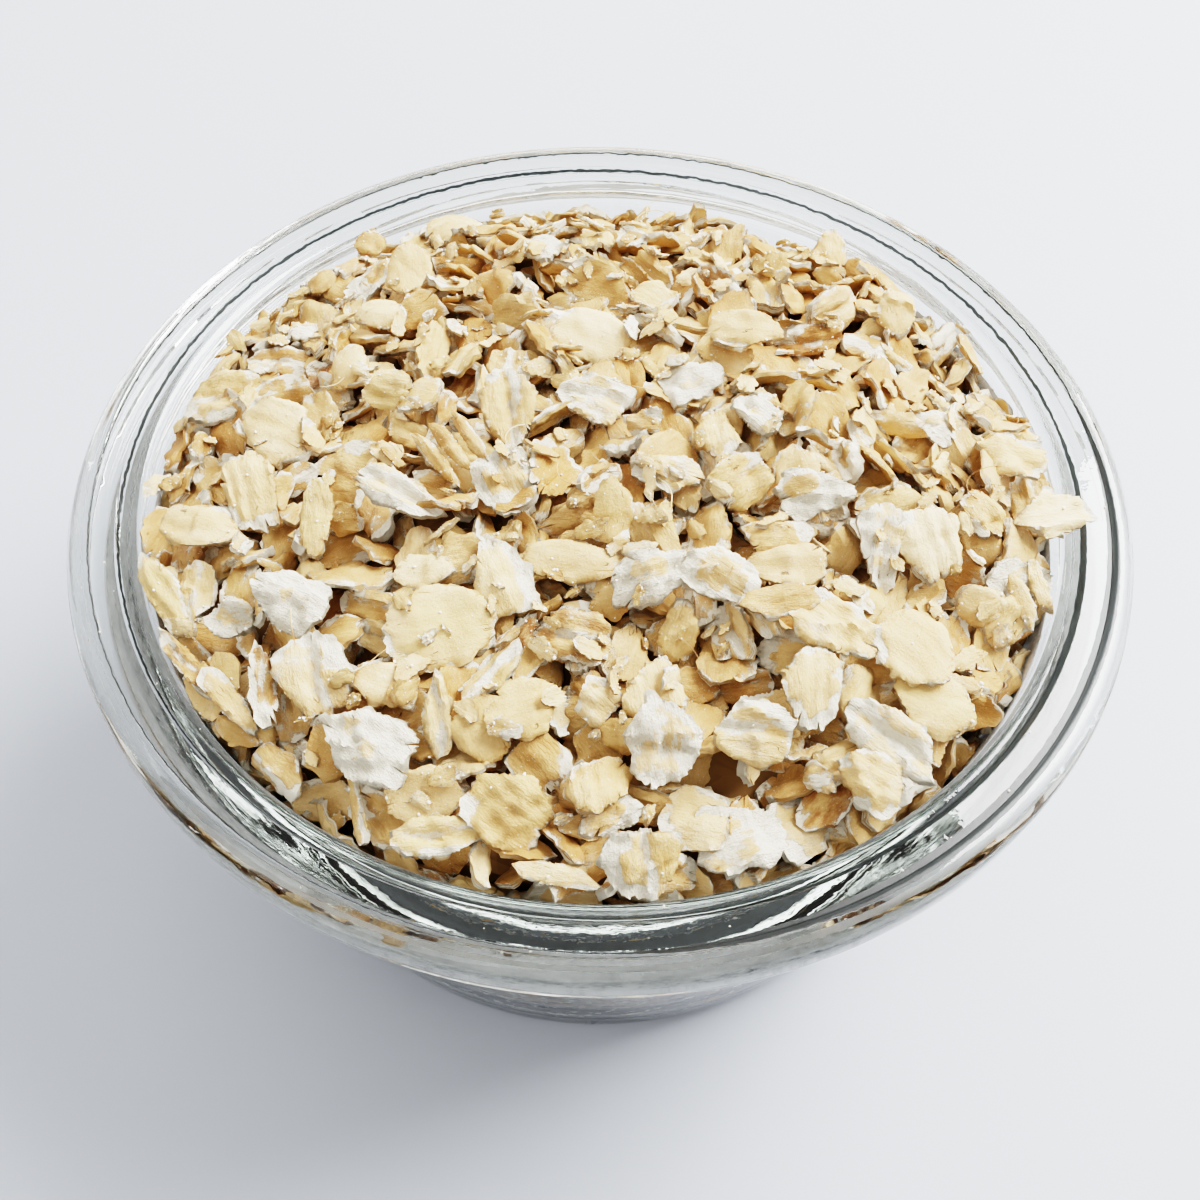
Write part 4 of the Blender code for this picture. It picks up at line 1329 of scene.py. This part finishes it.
def film_mesh(name):
    """A thin closed sheet round the inner wall."""
    angles = np.arange(FILM_STEPS) * math.tau / FILM_STEPS
    angle, share = np.meshgrid(angles, np.linspace(0, 1, FILM_ROWS + 1))
    z = flour_height(angle, share)
    wall = inner_radius(z * MM) / MM
    sheets = []
    for offset in (WALL_TOUCH, -FILM_DEPTH):
        r = wall + offset
        sheets.append(np.stack((r * np.cos(angle), r * np.sin(angle), z), -1))
    points = np.concatenate((sheets[0], sheets[1][::-1]))
    rows = len(points)
    index = np.arange(rows * FILM_STEPS).reshape(rows, FILM_STEPS)
    low, high = index, np.roll(index, -1, axis=0)
    low_after, high_after = np.roll(low, -1, axis=1), np.roll(high, -1, axis=1)
    triangles = [np.stack((low, low_after, high_after), -1), np.stack((low, high_after, high), -1)]
    return raw_mesh(name, points.reshape(-1, 3) * MM, np.concatenate(triangles).reshape(-1, 3))


def dust_mesh(name, count):
    """Flat specks on the inner wall, each a low six-sided scale."""
    rows = np.random.default_rng(11)
    angle = rows.uniform(0, math.tau, count)
    z = flour_height(angle, 1 - rows.random(count) ** 1.4)
    out = np.column_stack((np.cos(angle), np.sin(angle), np.full(count, -WALL_SLOPE)))
    out /= math.hypot(1, WALL_SLOPE)
    across = np.column_stack((-np.sin(angle), np.cos(angle), np.zeros(count)))
    up = np.cross(out, across)
    r = inner_radius(z * MM) / MM
    middle = np.column_stack((r * np.cos(angle), r * np.sin(angle), z))
    size = 0.1 + 0.5 * rows.random(count) ** 3
    points = [middle + out * WALL_TOUCH * 1.3, middle - out * 0.12]
    for k in range(DUST_SIDES):
        turn = math.tau * k / DUST_SIDES
        reach = (size * rows.uniform(0.6, 1.35, count))[:, None]
        points.append(middle + (across * math.cos(turn) + up * math.sin(turn)) * reach + out * 0.012)
    points = np.stack(points, 1)
    edge = [(2 + k, 2 + (k + 1) % DUST_SIDES) for k in range(DUST_SIDES)]
    sides = [(0, start, end) for start, end in edge] + [(1, end, start) for start, end in edge]
    triangles = np.array(sides)[None] + (np.arange(count) * (DUST_SIDES + 2))[:, None, None]
    return raw_mesh(name, points.reshape(-1, 3) * MM, triangles.reshape(-1, 3))


def flour_tone_group():
    """The colour of loose flour, which wanders between two shades."""
    names = (("Where", "Vector"), ("Scale", "Float"), ("Detail", "Float"), ("Light", "Color"),
             ("Dark", "Color"))
    group, given, result = new_group("flour_tone", names, (("Color", "Color"),))
    where, scale, detail, light, dark = given.outputs[:5]
    colour = blend(group, noise(group, where, scale, detail), light, dark)
    group.links.new(colour, result.inputs["Color"])
    return group


flour_tone = flour_tone_group()


def flour_material(name, scale, detail, shades):
    """Loose oat flour, white and matt. The place on the piece is returned as well."""
    made, tree, shader = new_material(name, 0.95)
    where = new_node(tree, "ShaderNodeTexCoord").outputs["Object"]
    tone = place_group(tree, flour_tone, Where=where, Scale=scale, Detail=detail, Light=shades[0],
                       Dark=shades[1])
    tree.links.new(tone.outputs["Color"], shader.inputs["Base Color"])
    return made, where


def film_material():
    """Flour on glass: it is denser towards the top, and the oats show through where it is thin."""
    made, where = flour_material("flour_film", 300, 3, DULL_FLOUR)
    tree = made.node_tree
    split = new_node(tree, "ShaderNodeSeparateXYZ")
    tree.links.new(where, split.inputs[0])
    climb = smooth_step(tree, split.outputs["Z"], THIN_BELOW, DENSE_ABOVE)
    climb = maths(tree, "MULTIPLY_ADD", climb, 0.54, -0.18)
    patches = maths(tree, "MULTIPLY_ADD", noise(tree, where, 130, 2), 0.7, climb)
    clumps = maths(tree, "ADD", noise(tree, where, 900, 5, 0.7), patches)
    cover = maths(tree, "MULTIPLY", smooth_step(tree, clumps, 0.72, 1.25), FILM_COVER)
    tree.links.new(cover, tree.nodes["Principled BSDF"].inputs["Alpha"])
    return made


finish_oats(add_piece("flour_film", film_mesh("flour_film")), film_material())
dust_paint, _ = flour_material("wall_dust", 300, 3, DULL_FLOUR)
finish_oats(add_piece("wall_dust", dust_mesh("wall_dust", WALL_DUST)), dust_paint)


# Broken bits, flour and husk: chips of flakes and crumbs of flour that sifted onto the heap,
# some specks on the glass rim, and a few fibres of husk.

BITS = 420
CRUMBS = 5200
RIM_SPECKS = 60
FIBRES = 26
# Radii in millimetres: in which bits and fibres are dropped, and between which the specks lie.
BIT_REACH, FIBRE_REACH = 46.5, 45
SPECKS_FROM, SPECKS_TO = 48.4, 54
WHITE_FLOUR = (250, 248, 243), (238, 226, 200)
HUSK_SHADES = (148, 100, 54), (226, 200, 156)

bit_shapes = make_shapes(draw, "bit", 26, BIT_FINE)
top_ground = mouth_ground()
for flake in heap + buried:
    flake.cover(top_ground)
bits = []
for _ in range(BITS):
    r, angle = BIT_REACH * math.sqrt(draw.random()), draw.uniform(0, math.tau)
    flake = new_flake(draw, "bit", bit_shapes)
    x, y = r * math.cos(angle), r * math.sin(angle)
    if let_down(flake, top_ground, x, y, draw.uniform(0, math.tau)):
        bits.append(flake)
bit_paint = oat_material("broken_bits", 0.03, 1.0, 0.55, 0.9)
finish_oats(joined_flakes("broken_bits", bits), bit_paint)


def crumb_mesh(name, spots):
    """One mesh of many uneven crumbs, each given as its place and size in millimetres."""
    ball = bmesh.new()
    bmesh.ops.create_icosphere(ball, subdivisions=1, radius=0.5)
    corners = np.array([tuple(v.co) for v in ball.verts])
    sides = np.array([[v.index for v in f.verts] for f in ball.faces])
    ball.free()
    rows = np.random.default_rng(7)
    count = len(spots)
    axes = np.linalg.qr(rows.normal(size=(count, 3, 3)))[0]
    lumps = corners[None] * rows.uniform(0.75, 1.2, (count, len(corners), 1))
    lumps *= rows.uniform(0.5, 1.3, (count, 1, 3))
    places = np.array([place for place, _ in spots])[:, None]
    sizes = np.array([size for _, size in spots])[:, None, None]
    points = np.einsum("nij,nkj->nki", axes, lumps) * sizes + places
    triangles = sides[None] + (np.arange(count) * len(corners))[:, None, None]
    return raw_mesh(name, points.reshape(-1, 3) * MM, triangles.reshape(-1, 3))


spots = []
for _ in range(CRUMBS):
    flake = draw.choice(heap + bits)
    place = flake.placed(flake.upper[draw.randrange(len(flake.upper))][None])[0]
    size = 0.08 + 0.3 * draw.random() ** 4
    spots.append((place + np.array((0, 0, size * 0.15)), size))
for _ in range(RIM_SPECKS):
    r, angle = draw.uniform(SPECKS_FROM, SPECKS_TO), draw.uniform(0, math.tau)
    top = LEDGE_HEIGHT if r < 49.7 else BOWL_HEIGHT - SEAL_DROP
    size = 0.1 + 0.25 * draw.random() ** 2
    spots.append((np.array((r * math.cos(angle), r * math.sin(angle), top / MM + size * 0.3)), size))
crumbs = add_piece("flour_crumbs", crumb_mesh("flour_crumbs", spots))
crumb_paint, _ = flour_material("flour", 900, 2, WHITE_FLOUR)
finish_oats(crumbs, crumb_paint)


def fibre_mesh(name, draw, ground, count, joints=10, sides=5):
    """Thin curling fibres of husk that lie on the heap with an end in the air."""
    points, faces = [], []
    for _ in range(count):
        r, angle = FIBRE_REACH * math.sqrt(draw.random()), draw.uniform(0, math.tau)
        heading, bend = draw.uniform(0, math.tau), draw.uniform(-0.35, 0.35)
        place = np.array((r * math.cos(angle), r * math.sin(angle), 0.0))
        step, lift = draw.uniform(0.25, 0.7), draw.uniform(0, 0.12)
        thick = draw.uniform(0.035, 0.075)
        base = len(points)
        for i in range(joints + 1):
            lowest = float(ground.at(place[0], place[1])) + thick
            place[2] = max(place[2], lowest) if i else lowest
            side = np.array((-math.sin(heading), math.cos(heading), 0))
            width = thick * (1 - 0.06 * i)
            for k in range(sides):
                turn = math.tau * k / sides
                off = side * width * math.cos(turn) + np.array((0, 0, width * math.sin(turn)))
                points.append(place + off)
            heading += bend + draw.uniform(-0.12, 0.12)
            place = place + np.array((math.cos(heading) * step, math.sin(heading) * step, lift * i * 0.3))
        for i in range(joints):
            low, high = base + i * sides, base + (i + 1) * sides
            for k in range(sides):
                after = (k + 1) % sides
                faces.append((low + k, low + after, high + after, high + k))
        faces.append(tuple(base + k for k in range(sides - 1, -1, -1)))
        faces.append(tuple(base + joints * sides + k for k in range(sides)))
    mesh = bpy.data.meshes.new(name)
    mesh.from_pydata([tuple(p * MM) for p in points], [], faces)
    mesh.shade_smooth()
    return mesh


fibres = add_piece("husk_fibres", fibre_mesh("husk_fibres", draw, top_ground, FIBRES))
fibre_paint, fibre_tree, fibre_shader = new_material("husk_fibres", 0.55)
fibre_where = new_node(fibre_tree, "ShaderNodeTexCoord").outputs["Object"]
fibre_tone = smooth_step(fibre_tree, noise(fibre_tree, fibre_where, 120, 2), 0.4, 0.6)
fibre_colour = blend(fibre_tree, fibre_tone, *HUSK_SHADES)
fibre_tree.links.new(fibre_colour, fibre_shader.inputs["Base Color"])
finish_oats(fibres, fibre_paint)


# The table: a smooth satin surface in pale grey-blue that the bowl stands on. It is a metre
# wide, so that its edges stay out of the photo's view, and it is only the stage.

TABLE_HALF = 0.5
TABLE_SHADE = (166, 171, 180)

table_mesh = bpy.data.meshes.new("table")
table_corners = [(TABLE_HALF * x, TABLE_HALF * y, 0) for x, y in ((-1, -1), (1, -1), (1, 1), (-1, 1))]
table_mesh.from_pydata(table_corners, [], [(0, 1, 2, 3)])
table = add_piece("table", table_mesh)
table_paint, _, table_shader = new_material("table_paint", 0.6)
feed(table_paint.node_tree, table_shader.inputs["Base Color"], TABLE_SHADE)
table_mesh.materials.append(table_paint)


# The light: a room that is dim below and brighter above and at the back, with three soft lamps:
# a window high at the back right, a long window low behind, and a weak reflector at the front
# left. The picture is shown with strong contrast, like the photo.

def soft_lamp(name, at, aim, size, power):
    """A rectangular lamp, given in metres and watts, that shines at a point."""
    data = bpy.data.lights.new(name, "AREA")
    data.shape = "RECTANGLE"
    data.size, data.size_y = size
    data.energy = power
    lamp = bpy.data.objects.new(name, data)
    lamp.location = at
    lamp.rotation_euler = (Vector(aim) - Vector(at)).to_track_quat("-Z", "Y").to_euler()
    bpy.context.scene.collection.objects.link(lamp)


soft_lamp("window", (0.56, 0.32, 0.68), (0, 0, 0.03), (0.6, 0.6), 23)
soft_lamp("back_window", (-0.25, 1.1, 0.4), (0, 0, 0.05), (1.6, 0.4), 9)
soft_lamp("reflector", (-0.5, -0.5, 0.7), (0, 0, 0.03), (0.9, 0.9), 3)

# How bright the room is at its dimmest and how much brighter at its brightest, how much its back
# counts next to its ceiling, and between which of these heights it brightens.
DIMMEST, BRIGHTER = 0.07, 0.84
BACK_SHARE = 0.45
DIM_BELOW, BRIGHT_ABOVE = -0.2, 0.7

world = bpy.data.worlds.new("room")
bpy.context.scene.world = world
world.use_nodes = True
room = world.node_tree
towards = new_node(room, "ShaderNodeSeparateXYZ")
room.links.new(new_node(room, "ShaderNodeTexCoord").outputs["Generated"], towards.inputs[0])
height = maths(room, "MULTIPLY_ADD", towards.outputs["Y"], BACK_SHARE, towards.outputs["Z"])
glow = smooth_step(room, height, DIM_BELOW, BRIGHT_ABOVE)
glow = maths(room, "MULTIPLY_ADD", glow, BRIGHTER, DIMMEST)
room.nodes["Background"].inputs["Color"].default_value = (1, 0.98, 0.95, 1)
room.links.new(glow, room.nodes["Background"].inputs["Strength"])
scene = bpy.context.scene
scene.cycles.max_bounces = 20
scene.cycles.transmission_bounces = 20
scene.cycles.glossy_bounces = 8
scene.view_settings.view_transform = "Filmic"
scene.view_settings.look = "Very High Contrast"
